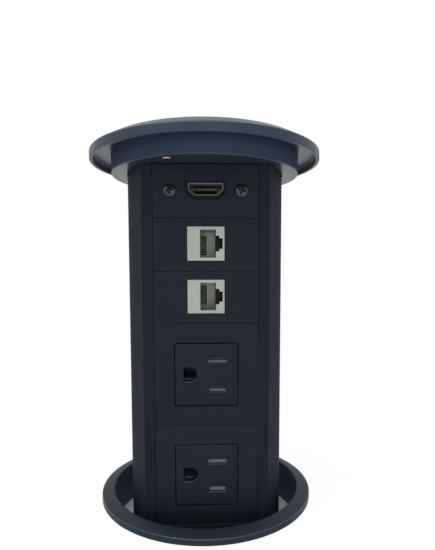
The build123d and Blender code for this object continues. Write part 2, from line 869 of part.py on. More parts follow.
for name, low in zip(("lower", "upper"), jack_z):
    jack_mid = low + data_h / 2 + key_rise
    parts["rj45_plate_" + name] = jack_plate(low)
    parts["rj45_jack_" + name] = jack_housing(jack_mid)
    parts["rj45_wires_" + name] = jack_wires(jack_mid)
    parts["rj45_rear_" + name] = jack_rear(jack_mid)


# Outlets, each a plate, an insert with a shutter behind its slots, a rear housing and three contacts
insert_back = plate_back + insert_back_t
shutter_front = front + face_wall + shutter_gap
shutter_back = insert_back - shutter_gap
shutter_foot = -blade_pitch / 2 - window_half - shutter_tail
shutter_top = blade_pitch / 2 + shutter_move + window_half + shutter_bar
peg_top = spring_hole[0] + shutter_gap + spring_peg_h


def square(width, near, far, z):
    return block((-width / 2, width / 2), (near, far), (z - width / 2, z + width / 2))


def outlet_plate(low, z):
    hole = square(insert_w + 2 * insert_gap, front - 1, plate_back + 1, z)
    hole = fillet(hole.edges().filter_by(Axis.Y), insert_corner)
    return module_plate(low, low + outlet_h) - hole


def slot(width, z, near, far):
    """A blade slot's opening."""
    return block(
        (blade_x - width / 2, blade_x + width / 2), (near, far), (z - blade_slot_h / 2, z + blade_slot_h / 2)
    )


def ground_hole(z, near, far):
    """The ground hole's opening, flat on the left and round on the right."""
    flat = block((ground_x - ground_flat, ground_x), (near, far), (z - ground_r, z + ground_r))
    return flat + from_round(ground_r, near, far, ground_x, z)


def outlet_insert(z):
    face = square(insert_w, front, plate_back, z)
    face = fillet(face.edges().filter_by(Axis.Y), insert_corner)
    face = chamfer(face.faces().sort_by(Axis.Y)[0].edges(), 0.2)
    face += square(insert_back_w, plate_back, insert_back, z)
    for width, side in ((neutral_w, 1), (line_w, -1)):
        face -= slot(width, z + side * blade_pitch / 2, front - 1, insert_back + 1)
    wide = shutter_half + shutter_side_gap
    tall = (z + shutter_foot - shutter_move - shutter_side_gap, z + shutter_top + shutter_side_gap)
    face -= block((blade_x - wide, blade_x + wide), (front + face_wall, insert_back + 1), tall)
    face += block(
        (blade_x - spring_peg_half, blade_x + spring_peg_half),
        (front + face_wall, insert_back),
        (z + peg_top - spring_peg_h, z + peg_top),
    )
    return face - ground_hole(z, front - 1, insert_back + 1)


def shutter(z):
    """A plate whose ramps close both slots, and whose windows open them once it is pushed down."""
    plate = block(
        (blade_x - shutter_half, blade_x + shutter_half),
        (shutter_front, shutter_back),
        (z + shutter_foot, z + shutter_top),
    )
    hole_half = spring_r + spring_wire_r + shutter_side_gap
    plate -= block(
        (blade_x - hole_half, blade_x + hole_half),
        (shutter_front - 1, shutter_back + 1),
        (z + spring_hole[0], z + spring_hole[1]),
    )
    for width, side in ((neutral_w, 1), (line_w, -1)):
        mid = z + side * blade_pitch / 2
        high = mid + shutter_move + window_half
        window = [
            (shutter_front - 1, high),
            (shutter_front - 1, mid - window_half),
            (shutter_front, mid - window_half),
            (shutter_back, mid + shutter_move - window_half),
            (shutter_back + 1, mid + shutter_move - window_half),
            (shutter_back + 1, high),
        ]
        half = width / 2 + window_side
        opening = make_face(Polyline([(blade_x - half, y, h) for y, h in window], close=True))
        plate -= extrude(opening, 2 * half, dir=(1, 0, 0))
    return plate


def shutter_spring(z):
    """The coil in the shutter's hole that pushes the shutter back up from the insert's peg."""
    low = z + peg_top + spring_wire_r + shutter_gap
    height = spring_hole[1] - peg_top - 2 * (spring_wire_r + shutter_gap)
    coil = Helix(height / spring_turns, height, spring_r)
    wire = sweep(Plane(origin=coil @ 0, z_dir=coil % 0) * Circle(spring_wire_r), path=coil)
    return Pos(blade_x, (shutter_front + shutter_back) / 2, low) * wire


def outlet_housing(z):
    body = square(housing_w, insert_back, housing_back, z)
    wide = contact_len / 2 + chamber_gap
    tall = leaf_gap / 2 + leaf_t + chamber_gap
    for side, tail_x in ((1, neutral_x), (-1, line_x)):
        mid = z + side * blade_pitch / 2
        body -= block((blade_x - wide, blade_x + wide), (insert_back - 1, chamber_back), (mid - tall, mid + tall))
        body -= tail(tail_x, mid, tail_gap)
    ground = ground_gap / 2 + leaf_t + chamber_gap
    body -= block(
        (ground_x - ground_len / 2 - chamber_gap, ground_x + ground_len / 2 + chamber_gap),
        (insert_back - 1, chamber_back),
        (z - ground, z + ground),
    )
    return body - tail(ground_x, z, tail_gap)


def tail(x, z, gap=0.0):
    """The tab that carries a contact out to its lead, or the slot for it."""
    wide, tall = tail_half[0] + gap, tail_half[1] + gap
    return block((x - wide, x + wide), (chamber_back - leaf_t, lead_y - lead_r), (z - tall, z + tall))


def spring_contact(x, length, gap, z, tail_x):
    """Two leaves that grip a pin, joined at the back by a web with a tail."""
    near = insert_back + 0.2
    contact = block((x - length / 2, x + length / 2), (chamber_back - leaf_t, chamber_back), (z - gap / 2, z + gap / 2))
    for side in (-1, 1):
        leaf = sorted((z + side * gap / 2, z + side * (gap / 2 + leaf_t)))
        contact += block((x - length / 2, x + length / 2), (near, chamber_back), leaf)
    return contact + tail(tail_x, z)


outlet_mid = [low + outlet_h / 2 + insert_rise for low in outlet_z]
for name, low, mid in zip(("lower", "upper"), outlet_z, outlet_mid):
    parts["outlet_plate_" + name] = outlet_plate(low, mid)
    parts["outlet_insert_" + name] = outlet_insert(mid)
    parts["slot_shutter_" + name] = shutter(mid)
    parts["shutter_spring_" + name] = shutter_spring(mid)
    parts["outlet_housing_" + name] = outlet_housing(mid)
parts["neutral_contacts"] = group(
    spring_contact(blade_x, contact_len, leaf_gap, mid + blade_pitch / 2, neutral_x) for mid in outlet_mid
)
parts["line_contacts"] = group(
    spring_contact(blade_x, contact_len, leaf_gap, mid - blade_pitch / 2, line_x) for mid in outlet_mid
)
parts["ground_contacts"] = group(
    spring_contact(ground_x, ground_len, ground_gap, mid, ground_x) for mid in outlet_mid
)

# Blank plate below the outlets
parts["blank_plate"] = module_plate(column_foot, stack_z)


# Mains leads from the terminal block up to both outlets
def lead(x, top):
    start = (terminal_y[0] + terminal_y[1]) / 2
    low = column_foot + terminal_h
    route = FilletPolyline(
        (x, start, low),
        (x, start, low + lead_rise[0]),
        (x, lead_y, low + lead_rise[1]),
        (x, lead_y, top),
        radius=lead_bend_r,
    )
    return sweep(Plane(origin=route @ 0, z_dir=route % 0) * Circle(lead_r), path=route)


def terminal_block():
    body = block((-terminal_half, terminal_half), terminal_y, (column_foot, column_foot + terminal_h))
    middle = (terminal_y[0] + terminal_y[1]) / 2
    for x in lead_places:
        place = Pos(x, terminal_y[1], column_foot + terminal_h / 2) * Rot(-90, 0, 0)
        body -= place * flat_screw_hole(*M25, terminal_screw)
        body -= disc(lead_r, column_foot - 1, column_foot + lead_socket, x, middle)
    return body


lead_places = (line_x, neutral_x, ground_x)
parts["terminal_block"] = terminal_block()
parts["terminal_screws"] = group(
    Pos(x, terminal_y[1], column_foot + terminal_h / 2) * Rot(-90, 0, 0) * flat_screw(*M25, terminal_screw)
    for x in lead_places
)
parts["line_lead"] = lead(line_x, outlet_mid[1] - blade_pitch / 2 + lead_end)
parts["neutral_lead"] = lead(neutral_x, outlet_mid[1] + blade_pitch / 2 + lead_end)
parts["ground_lead"] = lead(ground_x, outlet_mid[1] + lead_end)

os.makedirs("parts", exist_ok=True)
for name, shape in parts.items():
    export_step(shape, "parts/" + name + ".step")
print(len(parts), "pieces")
print("travel", round(travel, 3), "column top", round(column_top, 3), "lid underside", round(under_z, 3))
print("foot plate", round(foot_z, 3), "barrel foot", round(barrel_foot, 3), "gland foot", round(dome_foot, 3))
print("outlet middles", [round(z, 3) for z in outlet_mid], "jack plates from", jack_z, "HDMI middle", hdmi_z)
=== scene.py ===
# %% [markdown]
# # A pull-up socket tower for a desk
#
# This object lives in a round hole in a desk. Pulled up, it shows a black column with two mains
# outlets, two network jacks and an HDMI port on its flat front, under a round cap that covers the
# hole when the column is pushed down. Under the desk there are a threaded collar with its clamp
# nut, a long barrel that the column drops into, and a gland for the mains cord.
#
# The measured parts come in first, each at its real place and size in metres. Everything after
# that is about how the object looks: its camera, its finishes, and the pieces that deserve a
# richer shape than their plain solids.

# %% Load the measured parts
import json
from math import cos, hypot, pi, radians, sin, tan

import bpy
from mathutils import Matrix, Vector


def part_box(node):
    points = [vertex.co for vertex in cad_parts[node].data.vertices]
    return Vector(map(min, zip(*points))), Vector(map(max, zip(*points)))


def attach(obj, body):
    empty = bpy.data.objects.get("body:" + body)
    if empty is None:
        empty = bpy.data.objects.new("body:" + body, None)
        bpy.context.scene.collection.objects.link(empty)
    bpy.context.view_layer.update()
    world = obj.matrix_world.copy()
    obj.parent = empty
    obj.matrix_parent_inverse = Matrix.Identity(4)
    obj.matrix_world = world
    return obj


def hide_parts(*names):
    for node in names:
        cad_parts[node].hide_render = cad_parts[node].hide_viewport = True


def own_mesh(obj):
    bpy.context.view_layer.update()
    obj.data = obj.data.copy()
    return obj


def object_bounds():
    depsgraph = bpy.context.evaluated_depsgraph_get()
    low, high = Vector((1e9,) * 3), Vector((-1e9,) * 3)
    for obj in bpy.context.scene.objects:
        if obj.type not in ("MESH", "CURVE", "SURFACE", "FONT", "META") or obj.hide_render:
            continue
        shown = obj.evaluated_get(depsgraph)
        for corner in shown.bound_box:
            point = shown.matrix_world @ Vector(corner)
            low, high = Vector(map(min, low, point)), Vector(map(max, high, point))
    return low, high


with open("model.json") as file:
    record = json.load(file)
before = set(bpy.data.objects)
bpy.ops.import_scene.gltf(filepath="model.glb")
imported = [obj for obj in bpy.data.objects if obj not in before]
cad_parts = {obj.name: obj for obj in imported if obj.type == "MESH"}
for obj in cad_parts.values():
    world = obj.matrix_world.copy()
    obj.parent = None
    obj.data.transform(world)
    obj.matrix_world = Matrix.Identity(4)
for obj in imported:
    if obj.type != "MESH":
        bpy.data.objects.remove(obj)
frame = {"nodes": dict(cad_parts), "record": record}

cad_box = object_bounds()
nodes = frame["nodes"]

# %% [markdown]
# ## Working in millimetres
#
# Blender counts in metres, and a maker of small things counts in millimetres, so every size
# below is written in millimetres and multiplied by MM. An operator acts on whatever is selected,
# and the loaded parts arrive selected, so each step starts by deselecting everything.

# %% Small helpers
MM = 0.001


def deselect():
    """Nothing selected, in object mode."""
    if bpy.context.object and bpy.context.object.mode != "OBJECT":
        bpy.ops.object.mode_set(mode="OBJECT")
    bpy.ops.object.select_all(action="DESELECT")


def choose(piece):
    """Only this piece selected, and active."""
    deselect()
    piece.select_set(True)
    bpy.context.view_layer.objects.active = piece


def mm_box(node):
    """A measured part's lowest and highest corners, in millimetres."""
    low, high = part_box(node)
    return low / MM, high / MM


def mid_height(node):
    """The height of a measured part's middle, in millimetres."""
    low, high = mm_box(node)
    return (low.z + high.z) / 2


column_foot, column_head = mm_box("column_extrusion")
print("column from", round(column_foot.z, 1), "to", round(column_head.z, 1), "mm")

# %% [markdown]
# ## The camera
#
# The picture was taken from close by, a little above the desk and well below the cap, which is
# why the cap arches up and the ring opens into an ellipse. The camera stands 224 mm in front of
# the column's axis and 108 mm above the desk. Its picture is 435 by 550 pixels, and a small
# upward shift frames the tower as the photograph does.

# %% Set the camera
PICTURE_TALL = 550
FOCAL_PIXELS = 455.85
SENSOR = 36.0
camera_place = Vector((-1.984, -224.17, 107.67)) * MM
look_down, turn_left, tilt = 0.081, -0.037, 0.002

bpy.ops.object.camera_add(location=camera_place)
camera = bpy.context.object
camera.name = "desk_camera"
turned = Matrix.Rotation(turn_left, 4, "Z") @ Matrix.Rotation(pi / 2 - look_down, 4, "X")
camera.matrix_world = Matrix.Translation(camera_place) @ turned @ Matrix.Rotation(-tilt, 4, "Z")
camera.data.sensor_width = SENSOR
camera.data.lens = FOCAL_PIXELS * SENSOR / PICTURE_TALL
camera.data.shift_x = -0.0016
camera.data.shift_y = 0.066
camera.data.clip_start = 0.01
camera.data.clip_end = 50.0
bpy.context.scene.camera = camera
print("lens", round(camera.data.lens, 2), "mm")

# %% [markdown]
# ## Something to stand in
#
# The tower hangs in a desk, so it needs a piece of desk to be itself. A full desk top would hide
# the clamp and the barrel from every side, so a small round sample of white desk board, 25 mm
# thick with the tower's hole through it, is clamped in the place of the desk. It is made like a
# turned piece: a circle is drawn out along the board's outline. Far below it lies a plain floor.
#
# Both are scenery. Rays from the camera and reflections see them mostly as plain white, so the
# background is white without more light on the tower, and a soft trace of shadow is left.

# %% A lathe for round pieces
WELD = 0.002


def turned_piece(name, outline, sides=160, closed=True):
    """Draws a circle out along an outline of (radius, height) corners, as on a lathe."""
    deselect()
    radius, height = outline[0]
    bpy.ops.mesh.primitive_circle_add(vertices=sides, radius=radius * MM, location=(0, 0, height * MM))
    piece = bpy.context.object
    piece.name = piece.data.name = name
    bpy.ops.object.transform_apply(location=True)
    bpy.ops.object.mode_set(mode="EDIT")
    for next_radius, next_height in outline[1:] + (outline[:1] if closed else []):
        bpy.ops.mesh.extrude_edges_move()
        scale = next_radius / radius
        bpy.ops.transform.resize(value=(scale, scale, 1), center_override=(0, 0, height * MM))
        bpy.ops.transform.translate(value=(0, 0, (next_height - height) * MM))
        radius, height = next_radius, next_height
    bpy.ops.mesh.select_all(action="SELECT")
    bpy.ops.mesh.remove_doubles(threshold=WELD * MM)
    if not closed:
        bpy.ops.mesh.fill_holes(sides=0)
    bpy.ops.mesh.normals_make_consistent(inside=False)
    bpy.ops.object.mode_set(mode="OBJECT")
    bpy.ops.object.shade_smooth_by_angle(angle=radians(32))
    return piece


# %% The desk sample and the floor
SAMPLE_HOLE_R, SAMPLE_R, DESK_T = 48, 80, 25.0
FLOOR_DROP, FLOOR_METRES = 0.2, 12

board_outline = [(SAMPLE_HOLE_R, 0), (SAMPLE_R, 0), (SAMPLE_R, -DESK_T), (SAMPLE_HOLE_R, -DESK_T)]
desk_sample = turned_piece("desk_sample", board_outline)

deselect()
floor_height = cad_box[0].z - FLOOR_DROP * MM
bpy.ops.mesh.primitive_plane_add(size=FLOOR_METRES, location=(0, 0, floor_height))
floor = bpy.context.object
floor.name = "floor"
print("floor at", round(floor_height / MM, 1), "mm")

# %% [markdown]
# ## Plain soft light
#
# A dark object is described by what it reflects. The photograph's light is soft and even: the
# skirt stays readable under the cap's rim, the jacks' mouths are lit to the back, and only the
# surfaces that lean upwards are paler. So the room itself gives much of the light, with one broad
# lamp overhead, a weak one to the left, and one in front. The front one hangs as low as the desk,
# because the light that reaches the cap's underside comes up from a white table.
#
# The camera and the reflections see the room as plain white, while everything else is lit by a
# dimmer and slightly blue one. The lamps are weak for the same reason: a colour should come out
# about as bright as it is written.

# %% Lamps
def soft_lamp(name, place, aim, size, watts):
    """A square area lamp that hangs at a place and points at another, both in metres."""
    deselect()
    direction = Vector(aim) - Vector(place)
    turn = direction.to_track_quat("-Z", "Y").to_euler()
    bpy.ops.object.light_add(type="AREA", location=place, rotation=turn)
    lamp = bpy.context.object
    lamp.name = name
    lamp.data.size = size
    lamp.data.energy = watts


soft_lamp("overhead_lamp", (-0.2, -0.45, 1.2), (0, 0, 0.05), size=1.0, watts=7.0)
soft_lamp("left_lamp", (-0.9, -0.9, 0.5), (0, 0, 0.05), size=0.9, watts=1.5)
soft_lamp("front_lamp", (0.1, -0.8, 0.0), (0, 0, 0.1), size=0.6, watts=2.2)


# %% The room
def camera_and_mirror_rays(tree):
    """A socket that is 1 for what the camera sees, by itself or in a reflection or through glass."""
    rays = tree.nodes.new("ShaderNodeLightPath")
    seen = rays.outputs["Is Camera Ray"]
    for kind in ("Is Glossy Ray", "Is Transmission Ray"):
        either = tree.nodes.new("ShaderNodeMath")
        either.operation = "MAXIMUM"
        tree.links.new(seen, either.inputs[0])
        tree.links.new(rays.outputs[kind], either.inputs[1])
        seen = either.outputs[0]
    return seen


world = bpy.data.worlds.new("plain_room")
bpy.context.scene.world = world
world.use_nodes = True
room = world.node_tree
fill = room.nodes["Background"]
fill.inputs["Color"].default_value = (0.86, 0.93, 1.0, 1)
fill.inputs["Strength"].default_value = 0.4
white_room = room.nodes.new("ShaderNodeBackground")
white_room.inputs["Color"].default_value = (1, 1, 1, 1)
room_mix = room.nodes.new("ShaderNodeMixShader")
room.links.new(camera_and_mirror_rays(room), room_mix.inputs["Fac"])
room.links.new(fill.outputs[0], room_mix.inputs[1])
room.links.new(white_room.outputs[0], room_mix.inputs[2])
room.links.new(room_mix.outputs[0], room.nodes["World Output"].inputs["Surface"])
bpy.context.scene.view_settings.view_transform = "Standard"
print("view transform:", bpy.context.scene.view_settings.view_transform)


# %% White for the camera, plain pale board for the light
def pale_board(name, whiteness):
    """A pale matte board that the camera and reflections see as mostly white."""
    finish = bpy.data.materials.new(name)
    finish.use_nodes = True
    tree = finish.node_tree
    board = tree.nodes["Principled BSDF"]
    board.inputs["Roughness"].default_value = 0.9
    board.inputs["Specular IOR Level"].default_value = 0.1
    board.inputs["Base Color"].default_value = (0.82, 0.82, 0.82, 1)
    white = tree.nodes.new("ShaderNodeEmission")
    share = tree.nodes.new("ShaderNodeMath")
    share.operation = "MULTIPLY"
    share.inputs[1].default_value = whiteness
    mix = tree.nodes.new("ShaderNodeMixShader")
    tree.links.new(camera_and_mirror_rays(tree), share.inputs[0])
    tree.links.new(share.outputs[0], mix.inputs["Fac"])
    tree.links.new(board.outputs[0], mix.inputs[1])
    tree.links.new(white.outputs[0], mix.inputs[2])
    tree.links.new(mix.outputs[0], tree.nodes["Material Output"].inputs["Surface"])
    return finish


desk_sample.data.materials.append(pale_board("desk_board", 0.96))
floor.data.materials.append(pale_board("floor_white", 0.985))
print("scenery:", desk_sample.name, "and", floor.name)

# %% [markdown]
# ## Finishes
#
# Nearly everything here is black, and what tells one black from another is its surface: fine
# spark-eroded texture on the moulded plates, drawn lines on the anodised extrusion, a smoother
# skin on the cap. Each finish starts from one recipe. A noise pattern on object coordinates shifts
# the colour and the roughness a little, and a finer one gives the surface its grain. Constants go
# straight onto the shader's own sockets.

# %% The recipe for a surface
finishes = {}


def surface_finish(name, dark, light, rough, grain=(1400, 0.02), patch=60, stretch=(1, 1, 1), **constants):
    """A finish whose colour runs between two tones in soft patches, with a fine grain as its relief."""
    finish = finishes[name] = bpy.data.materials.new(name)
    finish.use_nodes = True
    tree = finish.node_tree
    shader = tree.nodes["Principled BSDF"]
    for socket, value in constants.items():
        shader.inputs[socket.replace("_", " ")].default_value = value
    place = tree.nodes.new("ShaderNodeTexCoord")
    mapping = tree.nodes.new("ShaderNodeMapping")
    mapping.inputs["Scale"].default_value = stretch
    tree.links.new(place.outputs["Object"], mapping.inputs["Vector"])

    patches = tree.nodes.new("ShaderNodeTexNoise")
    patches.inputs["Scale"].default_value = patch
    patches.inputs["Detail"].default_value = 4
    tree.links.new(mapping.outputs[0], patches.inputs["Vector"])
    tone = tree.nodes.new("ShaderNodeMix")
    tone.data_type = "RGBA"
    tone.inputs["A"].default_value = (*dark, 1)
    tone.inputs["B"].default_value = (*light, 1)
    tree.links.new(patches.outputs["Fac"], tone.inputs["Factor"])
    tree.links.new(tone.outputs["Result"], shader.inputs["Base Color"])
    spread = tree.nodes.new("ShaderNodeMapRange")
    spread.inputs["To Min"].default_value = rough[0]
    spread.inputs["To Max"].default_value = rough[1]
    tree.links.new(patches.outputs["Fac"], spread.inputs["Value"])
    tree.links.new(spread.outputs["Result"], shader.inputs["Roughness"])

    fine = tree.nodes.new("ShaderNodeTexNoise")
    fine.inputs["Scale"].default_value = grain[0]
    fine.inputs["Detail"].default_value = 2
    tree.links.new(mapping.outputs[0], fine.inputs["Vector"])
    relief = tree.nodes.new("ShaderNodeBump")
    relief.inputs["Strength"].default_value = 0.5
    relief.inputs["Distance"].default_value = grain[1] * MM
    tree.links.new(fine.outputs["Fac"], relief.inputs["Height"])
    tree.links.new(relief.outputs["Normal"], shader.inputs["Normal"])


# %% Coated metal and moulded plastic
surface_finish(
    "anodised_black", (0.010, 0.013, 0.019), (0.014, 0.018, 0.026), (0.66, 0.76),
    grain=(900, 0.015), stretch=(1, 1, 0.04), Specular_IOR_Level=0.08,
)
surface_finish(
    "ring_black", (0.0125, 0.0195, 0.030), (0.017, 0.025, 0.037), (0.45, 0.55),
    grain=(2400, 0.01), Specular_IOR_Level=0.2,
)
surface_finish(
    "black_plastic", (0.013, 0.016, 0.023), (0.017, 0.020, 0.028), (0.6, 0.7),
    grain=(2600, 0.02), Specular_IOR_Level=0.08,
)
surface_finish(
    "cap_plastic", (0.016, 0.027, 0.054), (0.021, 0.033, 0.064), (0.36, 0.44),
    grain=(2200, 0.006), Specular_IOR_Level=0.34,
)
surface_finish(
    "barrel_plastic", (0.018, 0.018, 0.019), (0.026, 0.026, 0.028), (0.5, 0.65),
    grain=(1600, 0.03), Specular_IOR_Level=0.3,
)
surface_finish(
    "housing_plastic", (0.016, 0.016, 0.017), (0.022, 0.022, 0.023), (0.5, 0.6), Specular_IOR_Level=0.3,
)
surface_finish(
    "guide_plastic", (0.76, 0.82, 0.92), (0.82, 0.88, 0.96), (0.45, 0.55), grain=(1800, 0.02),
)
surface_finish(
    "jack_white", (0.37, 0.395, 0.345), (0.42, 0.45, 0.39), (0.4, 0.5),
    grain=(2400, 0.01), Specular_IOR_Level=0.35,
)
surface_finish(
    "shutter_plastic", (0.05, 0.058, 0.078), (0.07, 0.08, 0.10), (0.5, 0.6), grain=(2600, 0.01),
)
print("moulded and coated finishes:", len(finishes))

# %% Bare metal, rubber, felt and wire insulation
surface_finish("gold_contact", (0.34, 0.31, 0.23), (0.44, 0.40, 0.30), (0.3, 0.4), Metallic=0.6)
surface_finish("brass_contact", (0.17, 0.19, 0.25), (0.23, 0.25, 0.32), (0.5, 0.65), Metallic=0.2)
surface_finish("nickel_shell", (0.08, 0.078, 0.071), (0.12, 0.117, 0.106), (0.4, 0.5), Metallic=1.0)
surface_finish("zinc_screw", (0.50, 0.50, 0.52), (0.62, 0.62, 0.65), (0.25, 0.4), Metallic=1.0)
surface_finish("spring_steel", (0.55, 0.55, 0.56), (0.66, 0.66, 0.67), (0.2, 0.3), Metallic=1.0)
surface_finish(
    "black_screw", (0.020, 0.024, 0.028), (0.070, 0.076, 0.082), (0.14, 0.22), patch=420, Metallic=0.7,
)
surface_finish("seal_rubber", (0.012, 0.012, 0.012), (0.02, 0.02, 0.02), (0.7, 0.85), grain=(900, 0.03))
surface_finish(
    "felt", (0.02, 0.02, 0.021), (0.06, 0.06, 0.062), (0.9, 1.0),
    grain=(700, 0.25), patch=500, Sheen_Weight=0.3,
)
surface_finish("wire_black", (0.012, 0.012, 0.013), (0.02, 0.02, 0.021), (0.35, 0.45))
surface_finish("wire_white", (0.66, 0.66, 0.64), (0.74, 0.74, 0.72), (0.35, 0.45))
surface_finish("wire_green", (0.02, 0.20, 0.05), (0.03, 0.26, 0.07), (0.35, 0.45))
print("finishes by now:", len(finishes))

# %% Painted light and shade, and rubbed and polished places, on these pieces
# Painted shade: near-black for the insides of recesses, the screws' cross recesses and the jacks' notches
# and combs.
surface_finish(
    "recess_painted_shade", (0.008, 0.009, 0.010), (0.012, 0.013, 0.014), (0.5, 0.6), Specular_IOR_Level=0.3,
)
surface_finish(
    "rubbed_edge", (0.011, 0.0145, 0.023), (0.015, 0.019, 0.029), (0.4, 0.5),
    grain=(2600, 0.004), Specular_IOR_Level=0.22,
)
# Painted light: the skirt's two finishes here are paler than the lid's plastic, as fill light under the
# rim; the edge one is glossier too.
surface_finish(
    "skirt_satin_painted_light", (0.043, 0.055, 0.088), (0.051, 0.065, 0.102), (0.75, 0.85),
    grain=(2200, 0.004), Specular_IOR_Level=0.05,
)
surface_finish(
    "skirt_edge", (0.042, 0.050, 0.074), (0.050, 0.060, 0.086), (0.4, 0.5),
    grain=(2600, 0.003), Specular_IOR_Level=0.22,
)
# Paler and glossier than the lid's top, for faces that look down at the table: the paleness is painted
# light.
surface_finish(
    "cap_underside_painted_light", (0.036, 0.044, 0.064), (0.044, 0.052, 0.074), (0.26, 0.32),
    grain=(2200, 0.006), Specular_IOR_Level=0.24,
)
# Painted light: the ring's well wall, far paler than the ring, for light inside the shaded well.
surface_finish(
    "well_wall_painted_light", (0.070, 0.088, 0.130), (0.085, 0.105, 0.155), (0.5, 0.6),
    grain=(2400, 0.006), Specular_IOR_Level=0.3,
)
# Painted highlight: far paler than the shutter, for the ramps' up-facing faces where the light falls.
surface_finish(
    "ramp_polish_painted_light", (0.36, 0.385, 0.43), (0.42, 0.445, 0.49), (0.3, 0.4), grain=(2600, 0.004),
)
# A glossier edge, and also painted paler than the ring: a painted highlight.
surface_finish(
    "polished_edge_painted_highlight", (0.024, 0.031, 0.046), (0.030, 0.038, 0.055), (0.2, 0.28), grain=(2600, 0.003),
)
# Painted light: pale grey for the inside of the deep, shaded video port.
surface_finish(
    "port_inside_painted_light", (0.14, 0.143, 0.155), (0.17, 0.173, 0.185), (0.55, 0.65), Specular_IOR_Level=0.3,
)
# Painted highlight: the tongue's front face, paler than its black plastic.
surface_finish("tongue_front_painted_light", (0.044, 0.044, 0.048), (0.052, 0.052, 0.056), (0.5, 0.6))
# Painted light: the ground contacts' pale blue, paler than tin, deep in the ground hole's shade.
surface_finish(
    "ground_contact_painted_light", (0.090, 0.105, 0.150), (0.110, 0.125, 0.180), (0.8, 0.9), Specular_IOR_Level=0.05,
)
# Painted shade: the video port's contacts, gold made far darker inside the shaded port.
surface_finish("gold_painted_shade", (0.05, 0.045, 0.034), (0.08, 0.072, 0.055), (0.45, 0.55), Metallic=0.8)

# %% Each measured part gets its finish
slot_of = {part["node"]: part["material_slot"] for part in frame["record"]["subparts"]}
# Three parts take painted light or shade here instead of their slot's finish.
own_finish = {"hdmi_contacts": "gold_painted_shade", "skirt_plate": "cap_underside_painted_light", "ground_contacts": "ground_contact_painted_light"}
for node, slot in slot_of.items():
    nodes[node].data.materials.clear()
    nodes[node].data.materials.append(finishes[own_finish.get(node, slot)])
print("finishes:", len(finishes), "on", len(slot_of), "parts")

# %% [markdown]
# ## A few ways of cutting
#
# Every moulded piece below starts as a plain block or disc. Openings are cut with a Boolean
# modifier, as a mould's core would leave them, and edges are then rounded with a Bevel that only
# touches the edges chosen by their place. A cutter sticks out by THROUGH past the faces that it
# opens, and joined shapes overlap by a HAIR, because a Boolean is unsure about faces that touch.

# %% Blocks, rods and tight skins
THROUGH, HAIR = 1.0, 0.01


def block(name, x, y, z):
    """A block between two limits on each axis, in millimetres."""
    deselect()
    middle = [(low + high) / 2 * MM for low, high in (x, y, z)]
    size = [(high - low) * MM for low, high in (x, y, z)]
    bpy.ops.mesh.primitive_cube_add(size=1, location=middle, scale=size)
    piece = bpy.context.object
    piece.name = piece.data.name = name
    bpy.ops.object.transform_apply(location=True, scale=True)
    return piece


def rod(name, radius, low, high, place=(0, 0), sides=48):
    """An upright rod between two heights, in millimetres."""
    deselect()
    middle = (place[0] * MM, place[1] * MM, (low + high) / 2 * MM)
    bpy.ops.mesh.primitive_cylinder_add(
        vertices=sides, radius=radius * MM, depth=(high - low) * MM, location=middle
    )
    piece = bpy.context.object
    piece.name = piece.data.name = name
    bpy.ops.object.transform_apply(location=True)
    return piece


def skin_of(name, points):
    """The tight skin round some points in millimetres, for any shape that has no hollows."""
    mesh = bpy.data.meshes.new(name)
    mesh.from_pydata([Vector(point) * MM for point in points], [], [])
    piece = bpy.data.objects.new(name, mesh)
    bpy.context.collection.objects.link(piece)
    choose(piece)
    bpy.ops.object.mode_set(mode="EDIT")
    bpy.ops.mesh.select_all(action="SELECT")
    bpy.ops.mesh.convex_hull()
    bpy.ops.mesh.normals_make_consistent(inside=False)
    bpy.ops.object.mode_set(mode="OBJECT")
    return piece


# %% Cuts and rounded edges
def combine(piece, tool, operation="DIFFERENCE"):
    """Cuts a tool out of a piece, or joins it on with UNION, and clears the tool away."""
    choose(piece)
    bpy.ops.object.modifier_add(type="BOOLEAN")
    change = piece.modifiers[-1]
    change.operation = operation
    change.solver = "EXACT"
    change.object = tool
    bpy.ops.object.modifier_apply(modifier=change.name)
    bpy.data.objects.remove(tool, do_unlink=True)


def edit_where(piece, kind, wanted):
    """Goes into edit mode with only those edges or faces selected whose middle passes a test."""
    choose(piece)
    bpy.context.tool_settings.mesh_select_mode = (False, kind == "EDGE", kind == "FACE")
    bpy.ops.object.mode_set(mode="EDIT")
    bpy.ops.mesh.select_all(action="DESELECT")
    bpy.ops.object.mode_set(mode="OBJECT")
    corners = piece.data.vertices
    if kind == "FACE":
        for face in piece.data.polygons:
            face.select = wanted(face.center / MM, face.normal)
    else:
        for edge in piece.data.edges:
            start, end = (corners[i].co / MM for i in edge.vertices)
            edge.select = wanted((start + end) / 2, (end - start).normalized())
    bpy.ops.object.mode_set(mode="EDIT")


def round_edges(piece, width, wanted, segments=3):
    """Bevels the edges whose middle and direction pass a test."""
    edit_where(piece, "EDGE", wanted)
    bpy.ops.mesh.bevel(offset=width * MM, segments=segments, affect="EDGES")
    bpy.ops.object.mode_set(mode="OBJECT")


def on_face(front):
    """A test for the edges that lie round a piece's front face."""
    return lambda middle, along: middle.y < front + 0.1


def runs_back(middle, along):
    """A test for the edges that run straight back from the front."""
    return abs(along.y) > 0.9


# %% Finishing a piece
def second_finish(piece, main, other, wanted):
    """Gives a piece its main finish, and another one to the faces that pass a test."""
    if not piece.data.materials:
        piece.data.materials.append(finishes[main])
    piece.data.materials.append(finishes[other])
    for face in piece.data.polygons:
        if wanted(face.center / MM, face.normal):
            face.material_index = len(piece.data.materials) - 1


def finish_piece(piece, slot_name, body, node, smooth=30):
    """Smooths a piece, finishes it, hangs it on its body and hides the measured part it stands for."""
    choose(piece)
    bpy.ops.object.shade_smooth_by_angle(angle=radians(smooth))
    if not piece.data.materials:
        piece.data.materials.append(finishes[slot_name])
    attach(piece, body)
    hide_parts(node)
    print(piece.name, "has", len(piece.data.polygons), "faces")
